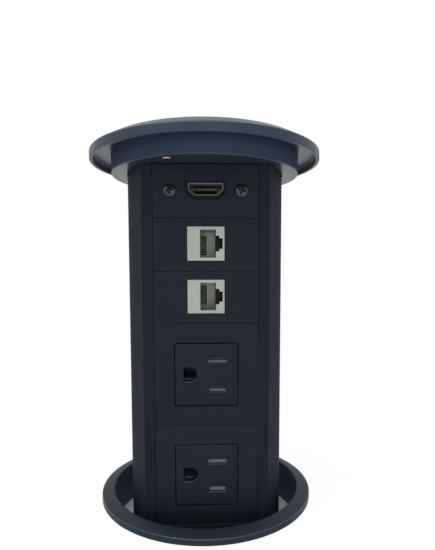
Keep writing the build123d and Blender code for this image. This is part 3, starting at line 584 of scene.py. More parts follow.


# %% [markdown]
# ## The cap's lid
#
# The lid is the part that a hand meets: a shallow dome that breaks into a sloping brow and then
# drops in an upright rim, which hides the ring when the tower is down. A real one is injection
# moulded, with soft corners where the steel was polished. It is turned from its section here,
# because every point of it lies on a circle round the axis; only the corners' radii and the
# dome's gentle rise need care. Three screw posts stand on its underside, whose down-facing faces
# are painted paler than the top: painted light from the table below. The skirt below it is turned
# in the same way, and is duller than the lid; its colour is painted paler too: painted fill light
# under the rim. The small rounding at its foot is smoother, as the photograph's thin pale line shows.

# %% A section with rounded corners
def rounded(corners, steps=6):
    """Corners of (radius, height), where a third number rounds that corner off with an arc."""
    outline = []
    for i, corner in enumerate(corners):
        here = Vector(corner[:2])
        if len(corner) == 2:
            outline.append(tuple(here))
            continue
        before = (Vector(corners[i - 1][:2]) - here).normalized()
        after = (Vector(corners[i + 1][:2]) - here).normalized()
        half = before.angle(after) / 2
        middle = here + (before + after).normalized() * corner[2] / sin(half)
        first = here + before * corner[2] / tan(half) - middle
        last = here + after * corner[2] / tan(half) - middle
        for step in range(steps + 1):
            spoke = first.lerp(last, step / steps).normalized() * corner[2]
            outline.append(tuple(middle + spoke))
    return outline


def looks_down(normal):
    """True for a face that looks down."""
    return normal.z < -0.9


# %% Turn the lid
RIM_R, RIM_WALL, RIM_DEPTH, RIM_DRAFT = 53.7, 1.6, 3.0, 0.3
BROW_R, BROW_RISE, CROWN_RISE = 46.0, 4.1, 1.2
CROWN_STEPS = (0.8, 0.6, 0.42, 0.26, 0.12, 0.04)
UNDER_R = 4.0
POST_RING, POST_TURNS, POST_R, POST_ROOT = 39.0, (20, 90, 160), 2.3, 0.5
POST_HOLE_R, POST_HOLE_TOP = 1.15, 3.0

lid_low, lid_high = mm_box("cap_lid")
rim_foot, lid_top = lid_low.z, lid_high.z
brow_top = lid_top - CROWN_RISE
under = rim_foot + RIM_DEPTH
lid_section = rounded(
    [
        (UNDER_R, under),
        (RIM_R - RIM_WALL - RIM_DRAFT, under, 0.5),
        (RIM_R - RIM_WALL, rim_foot, 0.3),
        (RIM_R, rim_foot, 0.5),
        (RIM_R, brow_top - BROW_RISE, 1.0),
        (BROW_R, brow_top, 4.0),
        *[(BROW_R * part, lid_top - CROWN_RISE * part**2) for part in CROWN_STEPS],
    ],
    steps=8,
)
lid = turned_piece("cap_lid_dome", lid_section, sides=200, closed=False)
post_foot = mm_box("top_plate")[1].z
for turn in POST_TURNS:
    place = (POST_RING * cos(radians(turn)), POST_RING * sin(radians(turn)))
    combine(lid, rod("post", POST_R, post_foot, under + POST_ROOT, place), "UNION")
    combine(lid, rod("post_hole", POST_HOLE_R, post_foot - THROUGH, under + POST_HOLE_TOP, place))


def under_the_lid(middle, normal):
    return looks_down(normal) and middle.z > rim_foot + 1


# The lid's down-facing faces are painted paler than its top: painted light from the table below.
second_finish(lid, "cap_plastic", "cap_underside_painted_light", under_the_lid)
finish_piece(lid, "cap_plastic", "column", "cap_lid")

# %% Turn the skirt
SKIRT_WALL, LEDGE_W, LEDGE_H = 2.5, 1.0, 2.1
FOOT_ROUND, FOOT_FLAT = 0.4, 0.8

skirt_low, skirt_high = mm_box("cap_skirt")
skirt_r, skirt_foot = skirt_high.x, skirt_low.z
bore_r = skirt_r - SKIRT_WALL
skirt_section = rounded(
    [
        (bore_r + LEDGE_W, skirt_foot),
        (bore_r + LEDGE_W, skirt_foot + LEDGE_H),
        (bore_r, skirt_foot + LEDGE_H),
        (bore_r, skirt_high.z),
        (skirt_r, skirt_high.z),
        (skirt_r, skirt_foot, FOOT_ROUND),
        (skirt_r - FOOT_FLAT, skirt_foot),
    ]
)
skirt = turned_piece("cap_skirt_wall", skirt_section, sides=200)


def on_foot_rounding(middle, normal):
    return middle.z < skirt_foot + FOOT_ROUND and middle.xy.length > skirt_r - FOOT_ROUND


def under_the_foot(middle, normal):
    return looks_down(normal) and middle.z < skirt_foot + 0.1


# The skirt is painted paler than the lid: painted fill light under the rim.
second_finish(skirt, "skirt_satin_painted_light", "skirt_edge", on_foot_rounding)
# The skirt's underside gets the same paler finish: painted light from below.
second_finish(skirt, "skirt_satin_painted_light", "cap_underside_painted_light", under_the_foot)
finish_piece(skirt, "cap_plastic", "column", "cap_skirt")

# %% [markdown]
# ## The ring and its thread
#
# The ring lies on the desk: a low flange with a sloping top that ends in a rounded lip round the
# well. Below the desk it goes on as a collar with a real screw thread of 3 mm pitch, on which the
# clamp nut climbs. The section is turned like the lid's. A thread can't be turned, because each
# turn must come out one pitch lower, so its ridge is a small four-sided section carried round and
# down by a Screw modifier, and then joined to the collar.

# %% A screw line
def wind(outline, turns, rise, steps):
    """Carries a closed outline round the upright axis along a screw line, and closes its two ends."""
    choose(outline)
    bpy.ops.object.modifier_add(type="SCREW")
    winding = outline.modifiers[-1]
    winding.angle = radians(360 * turns)
    winding.screw_offset = rise * MM
    winding.steps = winding.render_steps = steps * turns
    winding.use_smooth_shade = False
    bpy.ops.object.modifier_apply(modifier=winding.name)
    bpy.ops.object.mode_set(mode="EDIT")
    bpy.ops.mesh.select_all(action="SELECT")
    bpy.ops.mesh.fill_holes(sides=16)
    bpy.ops.mesh.normals_make_consistent(inside=False)
    bpy.ops.object.mode_set(mode="OBJECT")


# %% Turn the ring
RING_R, EDGE_H, EDGE_ROUND = 51.2, 2.65, 0.35
WELL_R, SEAT_R, LIP_H, LIP_W, LIP_ROUND = 45.0, 45.4, 4.05, 0.9, 0.8
COLLAR_R, ROOT_R, COLLAR_H, COLLAR_CHAMFER = 47.2, 46.5, 60.0, 0.8
THREAD_TOP, THREAD_PITCH, THREAD_TURNS, THREAD_RUNOUT = 8.0, 3.0, 15, 1.0
GASKET_IN, GASKET_OUT, GASKET_T = 48.2, 50.2, 0.8

guide_top = mm_box("guide_ring")[1].z
thread_foot = -THREAD_TOP - THREAD_PITCH * THREAD_TURNS
ring_section = rounded(
    [
        (SEAT_R, -COLLAR_H),
        (SEAT_R, guide_top),
        (WELL_R, guide_top),
        (WELL_R, LIP_H, LIP_ROUND),
        (WELL_R + LIP_W, LIP_H),
        (RING_R, EDGE_H, EDGE_ROUND),
        (RING_R, 0),
        (GASKET_OUT, 0),
        (GASKET_OUT, GASKET_T),
        (GASKET_IN, GASKET_T),
        (GASKET_IN, 0),
        (COLLAR_R, 0),
        (COLLAR_R, -THREAD_TOP + THREAD_RUNOUT),
        (ROOT_R, -THREAD_TOP),
        (ROOT_R, thread_foot),
        (COLLAR_R, thread_foot - THREAD_RUNOUT),
        (COLLAR_R, -COLLAR_H + COLLAR_CHAMFER),
        (COLLAR_R - COLLAR_CHAMFER, -COLLAR_H),
    ]
)
ring = turned_piece("desk_ring_threaded", ring_section, sides=180)

# %% Wind the thread's ridge
RIDGE_DROP, RIDGE_SINK, RIDGE_STEPS = 0.6, 0.25, 90
RIDGE_FOOT_HALF, RIDGE_CREST_HALF = 1.35, 0.2

deselect()
bpy.ops.mesh.primitive_circle_add(vertices=4, radius=1.0 * MM, rotation=(radians(90), 0, 0))
ridge = bpy.context.object
bpy.ops.object.transform_apply(rotation=True)
ridge_middle = -THREAD_TOP - RIDGE_DROP - RIDGE_FOOT_HALF
ridge_section = [
    (ROOT_R - RIDGE_SINK, RIDGE_FOOT_HALF),
    (COLLAR_R, RIDGE_CREST_HALF),
    (COLLAR_R, -RIDGE_CREST_HALF),
    (ROOT_R - RIDGE_SINK, -RIDGE_FOOT_HALF),
]
for corner, (radius, height) in zip(ridge.data.vertices, ridge_section):
    corner.co = Vector((radius, 0, ridge_middle + height)) * MM
wind(ridge, THREAD_TURNS - 1, -THREAD_PITCH * (THREAD_TURNS - 1), RIDGE_STEPS)
combine(ring, ridge, "UNION")
print("thread:", THREAD_TURNS - 1, "turns of", THREAD_PITCH, "mm")

# %% Bore the collar for the barrel's screws, and finish the ring
SCREW_TURNS, BORE_DEPTH = (45, 135, 225, 315), 4.0


def screw_bore(head_r, head_h, shank_r, outside_r, height, turn):
    """A countersunk bore that goes into a round wall at a height, at one angle round the axis."""
    corners = [(head_r, THROUGH), (head_r, 0.0), (shank_r, -head_h), (shank_r, -BORE_DEPTH)]
    bore = turned_piece("bore", corners, sides=40, closed=False)
    aim = Matrix.Rotation(radians(turn), 4, "Z") @ Matrix.Translation((outside_r * MM, 0, height * MM))
    bore.data.transform(aim @ Matrix.Rotation(pi / 2, 4, "Y"))
    return bore


def on_well_wall(middle, normal):
    return guide_top < middle.z < LIP_H - LIP_ROUND and middle.xy.length < WELL_R + HAIR


def on_outer_edge(middle, normal):
    return EDGE_H - 0.4 < middle.z < EDGE_H + 0.2 and middle.xy.length > RING_R - EDGE_ROUND


collar_bore = {"head_r": 2.95, "head_h": 1.5, "shank_r": 1.55, "outside_r": COLLAR_R - 0.2}
for turn in SCREW_TURNS:
    combine(ring, screw_bore(height=mid_height("collar_screws"), turn=turn, **collar_bore))
# The well's wall is painted far paler than the ring: painted light in the shaded well.
second_finish(ring, "ring_black", "well_wall_painted_light", on_well_wall)
# The outer edge's rounding is glossier and painted paler: a painted highlight.
second_finish(ring, "ring_black", "polished_edge_painted_highlight", on_outer_edge)
finish_piece(ring, "anodised_black", "base", "desk_ring")

# %% [markdown]
# ## The front plates
#
# The front is a stack of snap-in plates, two tall ones for the outlets, two half as tall for the
# jacks, one for the video port and a blank one that goes down into the ring. Each is a flat
# moulding with a rounded front edge, and a hooked rail behind each side that catches the
# extrusion's lip. They are made as a block, bevelled, with the two rails joined on. The rounded
# edge has been rubbed smooth, so the seams show as a dark line with a faint light one beside it.
#
# The video port's outline has six corners. Moving each of its sides out by the same distance gives
# the metal shell, the shell's hollow and the sloping relief in the plate.

# %% A plate with its clip rails
PLATE_HALF, PLATE_T, PLATE_ROUND = 22.35, 3.0, 0.25
RAIL_T, RAIL_DEPTH, RAIL_INSET = 1.8, 3.5, 2.0
HOOK_REACH, HOOK_AHEAD, HOOK_BEHIND = 1.9, 0.85, 0.8


def front_plate(node, *openings):
    """One of the column's front plates, less its openings."""
    low, high = mm_box(node)
    front, back = low.y, low.y + PLATE_T
    plate = block(node + "_moulding", (-PLATE_HALF, PLATE_HALF), (front, back), (low.z, high.z))
    round_edges(plate, PLATE_ROUND, on_face(front))
    rail_z = (low.z + RAIL_INSET, high.z - RAIL_INSET)
    for side in (-1, 1):
        web = sorted((side * (PLATE_HALF - RAIL_T), side * PLATE_HALF))
        hook = sorted((side * (PLATE_HALF - HAIR), side * (PLATE_HALF + HOOK_REACH)))
        combine(plate, block("web", web, (back - HAIR, back + RAIL_DEPTH), rail_z), "UNION")
        combine(plate, block("hook", hook, (back - HOOK_AHEAD, back + HOOK_BEHIND), rail_z), "UNION")
    for opening in openings:
        combine(plate, opening)

    def in_rounding(middle, normal):
        return front + HAIR < middle.y < front + PLATE_ROUND and abs(normal.y) < 0.97

    second_finish(plate, "black_plastic", "rubbed_edge", in_rounding)
    finish_piece(plate, "black_plastic", "column", node)


# %% The plates with a square opening, and the blank one
INSERT_HOLE, INSERT_HOLE_ROUND = (13.95, 13.95), 1.2
JACK_HOLE = (8.2, 7.475)
plate_front = mm_box("hdmi_plate")[0].y


def square_hole(piece_in_it, half, corner=0.0):
    """A tool for the opening through a plate in which a measured part sits."""
    mid = mid_height(piece_in_it)
    depth = (plate_front - THROUGH, plate_front + PLATE_T + THROUGH)
    hole = block("opening", (-half[0], half[0]), depth, (mid - half[1], mid + half[1]))
    if corner:
        round_edges(hole, corner, runs_back, segments=4)
    return hole


front_plate("blank_plate")
for place in ("lower", "upper"):
    front_plate(
        "outlet_plate_" + place, square_hole("outlet_insert_" + place, INSERT_HOLE, INSERT_HOLE_ROUND)
    )
    front_plate("rj45_plate_" + place, square_hole("rj45_jack_" + place, JACK_HOLE))

# %% The video port's outline
PORT_HALF, PORT_TOP, PORT_CORNER_Z, PORT_FOOT_HALF = 7.35, 2.55, -0.29, 4.85
port_low, port_high = mm_box("hdmi_shell")
port_mid = mid_height("hdmi_shell")


def port_corners(grow, y):
    """The port's six corners at one depth, with every side moved out by the same distance."""
    run, rise = PORT_HALF - PORT_FOOT_HALF, PORT_CORNER_Z + PORT_TOP
    slope = hypot(run, rise)
    half = [
        (PORT_HALF + grow, PORT_TOP + grow),
        (PORT_HALF + grow, PORT_CORNER_Z - grow * (slope - rise) / run),
        (PORT_FOOT_HALF + grow * (slope - run) / rise, -PORT_TOP - grow),
    ]
    return [(side * x, y, port_mid + z) for side in (-1, 1) for x, z in half]


def port_block(name, grow, front, back, corner):
    """A straight block with the port's outline and rounded corners."""
    piece = skin_of(name, port_corners(grow, front) + port_corners(grow, back))
    round_edges(piece, corner, runs_back, segments=4)
    return piece


# %% The video port's plate
PORT_GAP, PORT_ROUND = 0.1, 0.6
RELIEF_W, RELIEF_FOOT_W, RELIEF_DEPTH, RELIEF_START = 2.0, 0.6, 1.1, 0.09
PAN_R, PAN_HOLE_R = 2.9, 1.6

plate_behind = plate_front + PLATE_T
relief_front = port_corners(RELIEF_W, plate_front - RELIEF_START)
relief_foot = port_corners(RELIEF_FOOT_W, plate_front + RELIEF_DEPTH)
relief = skin_of("relief", relief_front + relief_foot)
port_screw_high = mm_box("hdmi_screws")[1]
port_screw_x = port_screw_high.x - PAN_R
port_screw_z = mid_height("hdmi_screws")
screw_holes = []
for x in (-port_screw_x, port_screw_x):
    hole = rod("screw_hole", PAN_HOLE_R, -5, 5)
    hole.data.transform(
        Matrix.Translation(Vector((x, plate_front, port_screw_z)) * MM) @ Matrix.Rotation(pi / 2, 4, "X")
    )
    screw_holes.append(hole)
port_hole = port_block("port_hole", PORT_GAP, plate_front - THROUGH, plate_behind + THROUGH, PORT_ROUND)
front_plate("hdmi_plate", relief, port_hole, *screw_holes)

# %% The video port's shell and tongue
SHELL_WALL, HOLLOW_ROUND = 0.3, 0.35
CORE_GAP, CORE_T = 0.05, 2
TONGUE_HALF, TONGUE_Z, TONGUE_SET, TONGUE_ROUND = 4.8, (-0.35, 0.6), 1.6, 0.4

shell = port_block("port_shell", 0, port_low.y, port_high.y, PORT_ROUND)
combine(shell, port_block("hollow", -SHELL_WALL, port_low.y - THROUGH, port_high.y + THROUGH, HOLLOW_ROUND))


def in_shell(middle, normal):
    return middle.y > port_low.y + 0.1 and normal.dot(middle - Vector((0, middle.y, port_mid))) < 0


# The shell's inside is painted pale grey instead of metal: painted light in the shaded port.
second_finish(shell, "nickel_shell", "port_inside_painted_light", in_shell)
finish_piece(shell, "nickel_shell", "column", "hdmi_shell")

core = port_block("port_core", -SHELL_WALL - CORE_GAP, port_high.y - CORE_T, port_high.y, HOLLOW_ROUND)
tongue_y = (plate_front + TONGUE_SET, port_high.y - CORE_T / 2)
tongue = block("tongue", (-TONGUE_HALF, TONGUE_HALF), tongue_y, [port_mid + z for z in TONGUE_Z])
round_edges(tongue, TONGUE_ROUND, on_face(tongue_y[0]))
combine(core, tongue, "UNION")


def on_tongue(middle, normal):
    return middle.y < port_high.y - CORE_T - 0.1


def on_tongue_front(middle, normal):
    return middle.y < tongue_y[0] + 0.1 and normal.y < -0.95


# The core's back wall is painted pale grey, painted light in the port; the tongue's front face is painted
# paler, a painted highlight.
second_finish(core, "port_inside_painted_light", "housing_plastic", on_tongue)
second_finish(core, "port_inside_painted_light", "tongue_front_painted_light", on_tongue_front)
finish_piece(core, "housing_plastic", "column", "hdmi_core")

# %% [markdown]
# ## The outlets' inserts
#
# Each outlet is a plate with a separate square insert, and the dark line round the insert is the
# gap between the two. The openings have small lead-in chamfers that guide the blades. A funnel
# shaped cutter makes opening and chamfer in one cut: a flat shape is pulled back through the face,
# and its front end is pulled out and widened. The ground hole is a circle with one side flattened.

# %% A funnel-shaped cutter
LEAD_IN = 0.5
FUNNEL_REACH = 1.4 * LEAD_IN


def funnel(shape, width, height, front, back):
    """Pulls a flat upright shape back through a face, and widens its front end by the lead-in."""
    choose(shape)
    shape.data.transform(Matrix.Translation((0, (front + LEAD_IN) * MM, 0)))
    middle = sum((Vector(corner) for corner in shape.bound_box), Vector()) / 8
    bpy.ops.object.mode_set(mode="EDIT")
    bpy.ops.mesh.select_all(action="SELECT")
    bpy.ops.mesh.extrude_region_move(TRANSFORM_OT_translate={"value": (0, (back - front) * MM, 0)})
    bpy.ops.object.mode_set(mode="OBJECT")
    edit_where(shape, "FACE", lambda place, normal: abs(place.y - front - LEAD_IN) < HAIR)
    bpy.ops.mesh.extrude_region_move(TRANSFORM_OT_translate={"value": (0, -FUNNEL_REACH * MM, 0)})
    wider = ((width + 2 * FUNNEL_REACH) / width, 1, (height + 2 * FUNNEL_REACH) / height)
    bpy.ops.transform.resize(value=wider, center_override=middle)
    bpy.ops.mesh.select_all(action="SELECT")
    bpy.ops.mesh.normals_make_consistent(inside=False)
    bpy.ops.object.mode_set(mode="OBJECT")
    return shape


def flattened_disc(radius, x, z, flat_x):
    """An upright flat disc, cut straight at its left."""
    deselect()
    bpy.ops.mesh.primitive_circle_add(
        vertices=56, radius=radius * MM, fill_type="NGON", rotation=(radians(90), 0, 0)
    )
    disc = bpy.context.object
    bpy.ops.object.transform_apply(rotation=True)
    disc.data.transform(Matrix.Translation((x * MM, 0, z * MM)))
    for corner in disc.data.vertices:
        if corner.co.x < x * MM:
            corner.co.x = flat_x * MM
            corner.co.z = (z + (radius if corner.co.z > z * MM else -radius)) * MM
    choose(disc)
    bpy.ops.object.mode_set(mode="EDIT")
    bpy.ops.mesh.select_all(action="SELECT")
    bpy.ops.mesh.remove_doubles(threshold=HAIR * MM)
    bpy.ops.object.mode_set(mode="OBJECT")
    return disc


def flat_bar(width, height, x, z):
    """An upright flat rectangle."""
    deselect()
    bpy.ops.mesh.primitive_plane_add(size=1, rotation=(radians(90), 0, 0))
    bar = bpy.context.object
    bar.scale = (width * MM, height * MM, 1)
    bpy.ops.object.transform_apply(rotation=True, scale=True)
    bar.data.transform(Matrix.Translation((x * MM, 0, z * MM)))
    return bar


# %% Shape an insert
INSERT_HALF, INSERT_T, INSERT_CORNER, INSERT_ROUND = 13.5, 3.0, 0.8, 0.25
FLANGE_HALF, FLANGE_T, FACE_WALL, POCKET_PLAY = 15.5, 1.0, 1.2, 0.2
BLADE_X, BLADE_PITCH, SLOT_H, SLOT_DEPTH = 4.85, 12.7, 2.5, 2.0
SLOT_WIDTHS = {1: 8.5, -1: 7.2}
GROUND_X, GROUND_R, GROUND_FLAT_X = -7.1, 3.0, -9.9
SHUTTER_MOVE = 3.0
PEG_HALF, PEG_FOOT, PEG_TOP = 0.9, 0.9, 0.1


def outlet_insert(place):
    """The square insert of one outlet, at its place in the tower."""
    node = "outlet_insert_" + place
    front, mid = mm_box(node)[0].y, mid_height(node)
    back = front + INSERT_T
    behind = back + FLANGE_T
    half, wide = INSERT_HALF, FLANGE_HALF
    insert = block("insert_" + place, (-half, half), (front, back), (mid - half, mid + half))
    round_edges(insert, INSERT_CORNER, runs_back)
    round_edges(insert, INSERT_ROUND, on_face(front), segments=2)
    flange = block("flange", (-wide, wide), (back - HAIR, behind), (mid - wide, mid + wide))
    combine(insert, flange, "UNION")
    shutter_low, shutter_high = mm_box("slot_shutter_" + place)
    pocket_z = (shutter_low.z - SHUTTER_MOVE - POCKET_PLAY, shutter_high.z + POCKET_PLAY)
    pocket_x = (shutter_low.x - POCKET_PLAY, shutter_high.x + POCKET_PLAY)
    combine(insert, block("pocket", pocket_x, (front + FACE_WALL, behind + THROUGH), pocket_z))
    spring_foot = mm_box("shutter_spring_" + place)[0].z
    peg_x = (BLADE_X - PEG_HALF, BLADE_X + PEG_HALF)
    peg_z = (spring_foot - PEG_FOOT, spring_foot - PEG_TOP)
    combine(insert, block("peg", peg_x, (front + FACE_WALL - 0.1, behind), peg_z), "UNION")
    for side, width in SLOT_WIDTHS.items():
        opening = flat_bar(width, SLOT_H, BLADE_X, mid + side * BLADE_PITCH / 2)
        combine(insert, funnel(opening, width, SLOT_H, front, front + SLOT_DEPTH))
    hole = flattened_disc(GROUND_R, GROUND_X, mid, GROUND_FLAT_X)
    hole_w = GROUND_X + GROUND_R - GROUND_FLAT_X
    combine(insert, funnel(hole, hole_w, 2 * GROUND_R, front, behind + THROUGH))

    def in_lead_in(middle, normal):
        return front + HAIR < middle.y < front + LEAD_IN and -0.97 < normal.y < -0.3

    second_finish(insert, "black_plastic", "rubbed_edge", in_lead_in)
    finish_piece(insert, "black_plastic", "column", node)


outlet_insert("lower")
outlet_insert("upper")

# %% [markdown]
# ## The shutters behind the slots
#
# What shows pale in the slots is a shutter, one moulded slide behind both slots of an outlet. A
# blade that is pushed in meets a hollow ramp and drives the slide down, until its windows line up
# with the slots. The ramp is scooped: flat where it starts and steep at the back. Its up-facing
# faces, where the blade slides, are glossier and painted far paler than the slide: a painted
# highlight where the light falls. So the lower half of a slot shines and its upper half is dull.
# The space over a ramp has no hollows of its own, so its cutter is the tight skin round the ramp's
# curve and the window.

# %% Shape a shutter
WINDOW_SIDE, WINDOW_HALF, SCOOP_STEPS, SHUTTER_CORNER = 0.25, 1.15, 12, 0.3
SPRING_HOLE_HALF, SPRING_HOLE_Z = 1.25, (-1.2, 4.2)


def slot_shutter(place):
    """The slide that closes both slots of one outlet."""
    mid = mid_height("outlet_insert_" + place)
    low, high = mm_box("slot_shutter_" + place)
    through = (low.y - THROUGH, high.y + THROUGH)
    shutter = block("shutter_" + place, (low.x, high.x), (low.y, high.y), (low.z, high.z))
    round_edges(shutter, SHUTTER_CORNER, runs_back)
    spring_x = (BLADE_X - SPRING_HOLE_HALF, BLADE_X + SPRING_HOLE_HALF)
    combine(shutter, block("spring_hole", spring_x, through, [mid + z for z in SPRING_HOLE_Z]))
    depth = high.y - low.y + HAIR
    for side, width in SLOT_WIDTHS.items():
        foot = mid + side * BLADE_PITCH / 2 - WINDOW_HALF
        top = foot + SHUTTER_MOVE + 2 * WINDOW_HALF
        section = [(low.y - THROUGH, foot), (low.y - THROUGH, top), (high.y + HAIR, top)]
        for step in range(SCOOP_STEPS + 1):
            turn = pi / 2 * step / SCOOP_STEPS
            section.append((low.y + depth * sin(turn), foot + SHUTTER_MOVE * (1 - cos(turn))))
        half = width / 2 + WINDOW_SIDE
        combine(shutter, skin_of("scoop", [(BLADE_X + x, y, z) for x in (-half, half) for y, z in section]))

    def on_scoop(middle, normal):
        return normal.z > 0.72 and low.z + 0.5 < middle.z < high.z - 2.0

    # The scoop's up-facing faces are glossier and painted far paler: a painted highlight.
    second_finish(shutter, "shutter_plastic", "ramp_polish_painted_light", on_scoop)
    finish_piece(shutter, "shutter_plastic", "shutter_" + place, "slot_shutter_" + place)


slot_shutter("lower")
slot_shutter("upper")

# %% [markdown]
# ## The shutters' springs
#
# When the blade leaves, a small coil spring pushes its shutter up again. It stands on a peg of the
# insert, in a hole between the two ramps. A coil is one round of wire carried up a screw line, so
# it is wound in the same way as the thread. On the real one, as the shutter slides down, its spring
# is squashed towards the peg by just as much; here the coil is made at one length on the column.

# %% Wind a spring
COIL_R, WIRE_R, COIL_TURNS, COIL_STEPS = 0.9, 0.15, 4, 40


def shutter_spring(place):
    """The spring under one shutter, at the length of its measured part."""
    low, high = mm_box("shutter_spring_" + place)
    deselect()
    bpy.ops.mesh.primitive_circle_add(
        vertices=16, radius=WIRE_R * MM, location=(COIL_R * MM, 0, 0), rotation=(pi / 2, 0, 0)
    )
    coil = bpy.context.object
    coil.name = coil.data.name = "coil_spring_" + place
    bpy.ops.object.transform_apply(location=True, rotation=True)
    wind(coil, COIL_TURNS, high.z - low.z - 2 * WIRE_R, COIL_STEPS)
    middle = (low + high) / 2
    coil.data.transform(Matrix.Translation(Vector((middle.x, middle.y, low.z + WIRE_R)) * MM))
    finish_piece(coil, "spring_steel", "column", "shutter_spring_" + place, smooth=50)
    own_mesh(coil)


shutter_spring("lower")
shutter_spring("upper")

# %% [markdown]
# ## The network jacks
#
# A jack is a white moulded housing with a mouth for the plug and a stepped notch for the plug's
# latch, turned here so that the latch is to the right. Eight gold wires slope back from the left
# edge. On the real one the notch and the comb between the wires open into the black block behind
# the housing and lie in deep shade, so they look black while the mouth's own walls are pale. The
# housing is a block with openings cut into it, and the faces in the notch and the comb are painted
# near-black: the black block's colour and painted shade together.

# %% Shape a jack
KEY_HALF_W, KEY_HALF_H, KEY_BACK, KEY_ROUND = 7.95, 7.225, -8.0, 0.3
EAR_X, EAR_Z, EAR_T = 9.8, 5.0, 2.0
MOUTH_X, MOUTH_W, MOUTH_HALF_H, MOUTH_DEPTH = -2.5, 6.8, 5.95, 14.0
NOTCH_STEPS, NOTCH_DEPTH = ((1.4, 3.3), (1.4, 2.2)), 12.0
COMB_W, COMB_HALF_H, COMB_DEPTH = 2.9, 4.2, 3.0


def network_jack(place):
    """One jack's white housing, at its place in the tower."""
    node = "rj45_jack_" + place
    face, mid = mm_box(node)[0].y, mid_height(node)
    jack_z = (mid - KEY_HALF_H, mid + KEY_HALF_H)
    jack = block("jack_" + place, (-KEY_HALF_W, KEY_HALF_W), (face, KEY_BACK), jack_z)
    round_edges(jack, KEY_ROUND, on_face(face))
    plate_back = mm_box("rj45_plate_" + place)[0].y + PLATE_T
    ears = block("ears", (-EAR_X, EAR_X), (plate_back, plate_back + EAR_T), (mid - EAR_Z, mid + EAR_Z))
    combine(jack, ears, "UNION")

    def cut(name, x, y, half_h):
        combine(jack, block(name, x, y, (mid - half_h, mid + half_h)))

    mouth_back, notch_back = face + MOUTH_DEPTH, face + NOTCH_DEPTH
    mouth_end = MOUTH_X + MOUTH_W
    cut("mouth", (MOUTH_X, mouth_end), (face - THROUGH, mouth_back), MOUTH_HALF_H)
    notch_end = mouth_end
    for width, half_h in NOTCH_STEPS:
        cut("notch", (notch_end - 2 * HAIR, notch_end + width), (face - THROUGH, notch_back), half_h)
        notch_end += width
    comb_end = MOUTH_X + COMB_W
    comb_y = (mouth_back - THROUGH, mouth_back + COMB_DEPTH)
    cut("comb", (MOUTH_X + 2 * HAIR, comb_end), comb_y, COMB_HALF_H)

    def in_black_block_painted_shade(middle, normal):
        off_centre = abs(middle.z - mid)
        in_comb = MOUTH_X < middle.x < comb_end + HAIR and off_centre < COMB_HALF_H + HAIR
        in_notch = mouth_end + HAIR < middle.x < notch_end + HAIR and off_centre < NOTCH_STEPS[0][1] + HAIR
        return in_comb and mouth_back + 0.1 < middle.y < KEY_BACK - 0.1 or (
            in_notch and face + 0.35 < middle.y < notch_back + 0.1
        )

    # The notch and the comb are painted near-black: partly the black block, partly painted shade.
    second_finish(jack, "jack_white", "recess_painted_shade", in_black_block_painted_shade)
    finish_piece(jack, "jack_white", "column", node)


network_jack("lower")
network_jack("upper")

# %% [markdown]
# ## Screws that show
#
# Two pan-head screws hold the video port, and two smaller ones hold the skirt's plate from below,
# where one of them catches the light. Their cross recess is what the eye sees, four tapering wings
# round a small cone. So a head is made from a ball pressed flat, and the recess is cut with two
# crossed wedges that are wide at the top and narrow at the bottom.

# %% Shape a cross-recess screw
RECESS_REACH, RECESS_DEPTH, RECESS_W = 0.74, 0.85, 0.42
RECESS_FOOT_REACH, RECESS_FOOT_W = 0.35, 0.6


def cross_screw(name, finish, head_r, head_h, shank_r, length):
    """A pan-head screw that points down, with the underside of its head at height 0."""
    deselect()
    bpy.ops.mesh.primitive_uv_sphere_add(segments=64, ring_count=40, radius=head_r * MM)
    screw = bpy.context.object
    screw.name = screw.data.name = name
    screw.data.transform(Matrix.Diagonal((1, 1, head_h / head_r, 1)))
    combine(screw, rod("below", head_r + THROUGH, -head_r, 0))
    combine(screw, rod("shank", shank_r, -length, 0.3 * head_h), "UNION")
    reach, depth, half = RECESS_REACH * head_r, RECESS_DEPTH * head_h, RECESS_W * head_r / 2
    for angle in (0, 90):
        wing = block("wing", (-reach, reach), (-half, half), (head_h - depth, head_h + 0.5))
        for corner in wing.data.vertices:
            if corner.co.z < head_h * MM / 2:
                corner.co.x *= RECESS_FOOT_REACH
                corner.co.y *= RECESS_FOOT_W
        wing.data.transform(Matrix.Rotation(radians(angle), 4, "Z"))
        combine(screw, wing)

    def in_recess(middle, normal):
        inward = normal.xy.dot(middle.xy) < 0.2 or normal.z > 0.98
        return inward and middle.xy.length < 1.05 * reach and 0.1 * head_h < middle.z < 0.97 * head_h

    # The cross recess is painted near-black: painted shade.
    second_finish(screw, finish, "recess_painted_shade", in_recess)
    return screw


def placed(screw, place, lean, turn):
    """Turns a finished screw on its own axis, leans it over and sets it at a place in millimetres."""
    move = Matrix.Translation(Vector(place) * MM) @ Matrix.Rotation(radians(lean), 4, "X")
    screw.data.transform(move @ Matrix.Rotation(radians(turn), 4, "Z"))


def copied(screw, name):
    """A copy with a mesh of its own."""
    twin = bpy.data.objects.new(name, screw.data.copy())
    bpy.context.collection.objects.link(twin)
    return twin


def joined(first, second):
    """Two copies made one object, because the record holds them as one group."""
    choose(first)
    second.select_set(True)
    bpy.ops.object.join()
    return first


# %% The port's screws and the skirt's screws
PAN_H, PAN_SHANK_R = 1.6, 1.5
SKIRT_SCREW_R, SKIRT_SCREW_H, SKIRT_SHANK_R = 1.9, 0.6, 1.1
SKIRT_SCREW_RING, SKIRT_SCREW_TURNS = 39.6, (-113, 67)

port_screw_length = port_screw_high.y - plate_front
left_screw = cross_screw("port_screws", "black_screw", PAN_R, PAN_H, PAN_SHANK_R, port_screw_length)
right_screw = copied(left_screw, "port_screw_right")
placed(left_screw, (-port_screw_x, plate_front, port_screw_z), 90, 12)
placed(right_screw, (port_screw_x, plate_front, port_screw_z), 90, -20)
finish_piece(joined(left_screw, right_screw), "black_screw", "column", "hdmi_screws", smooth=40)

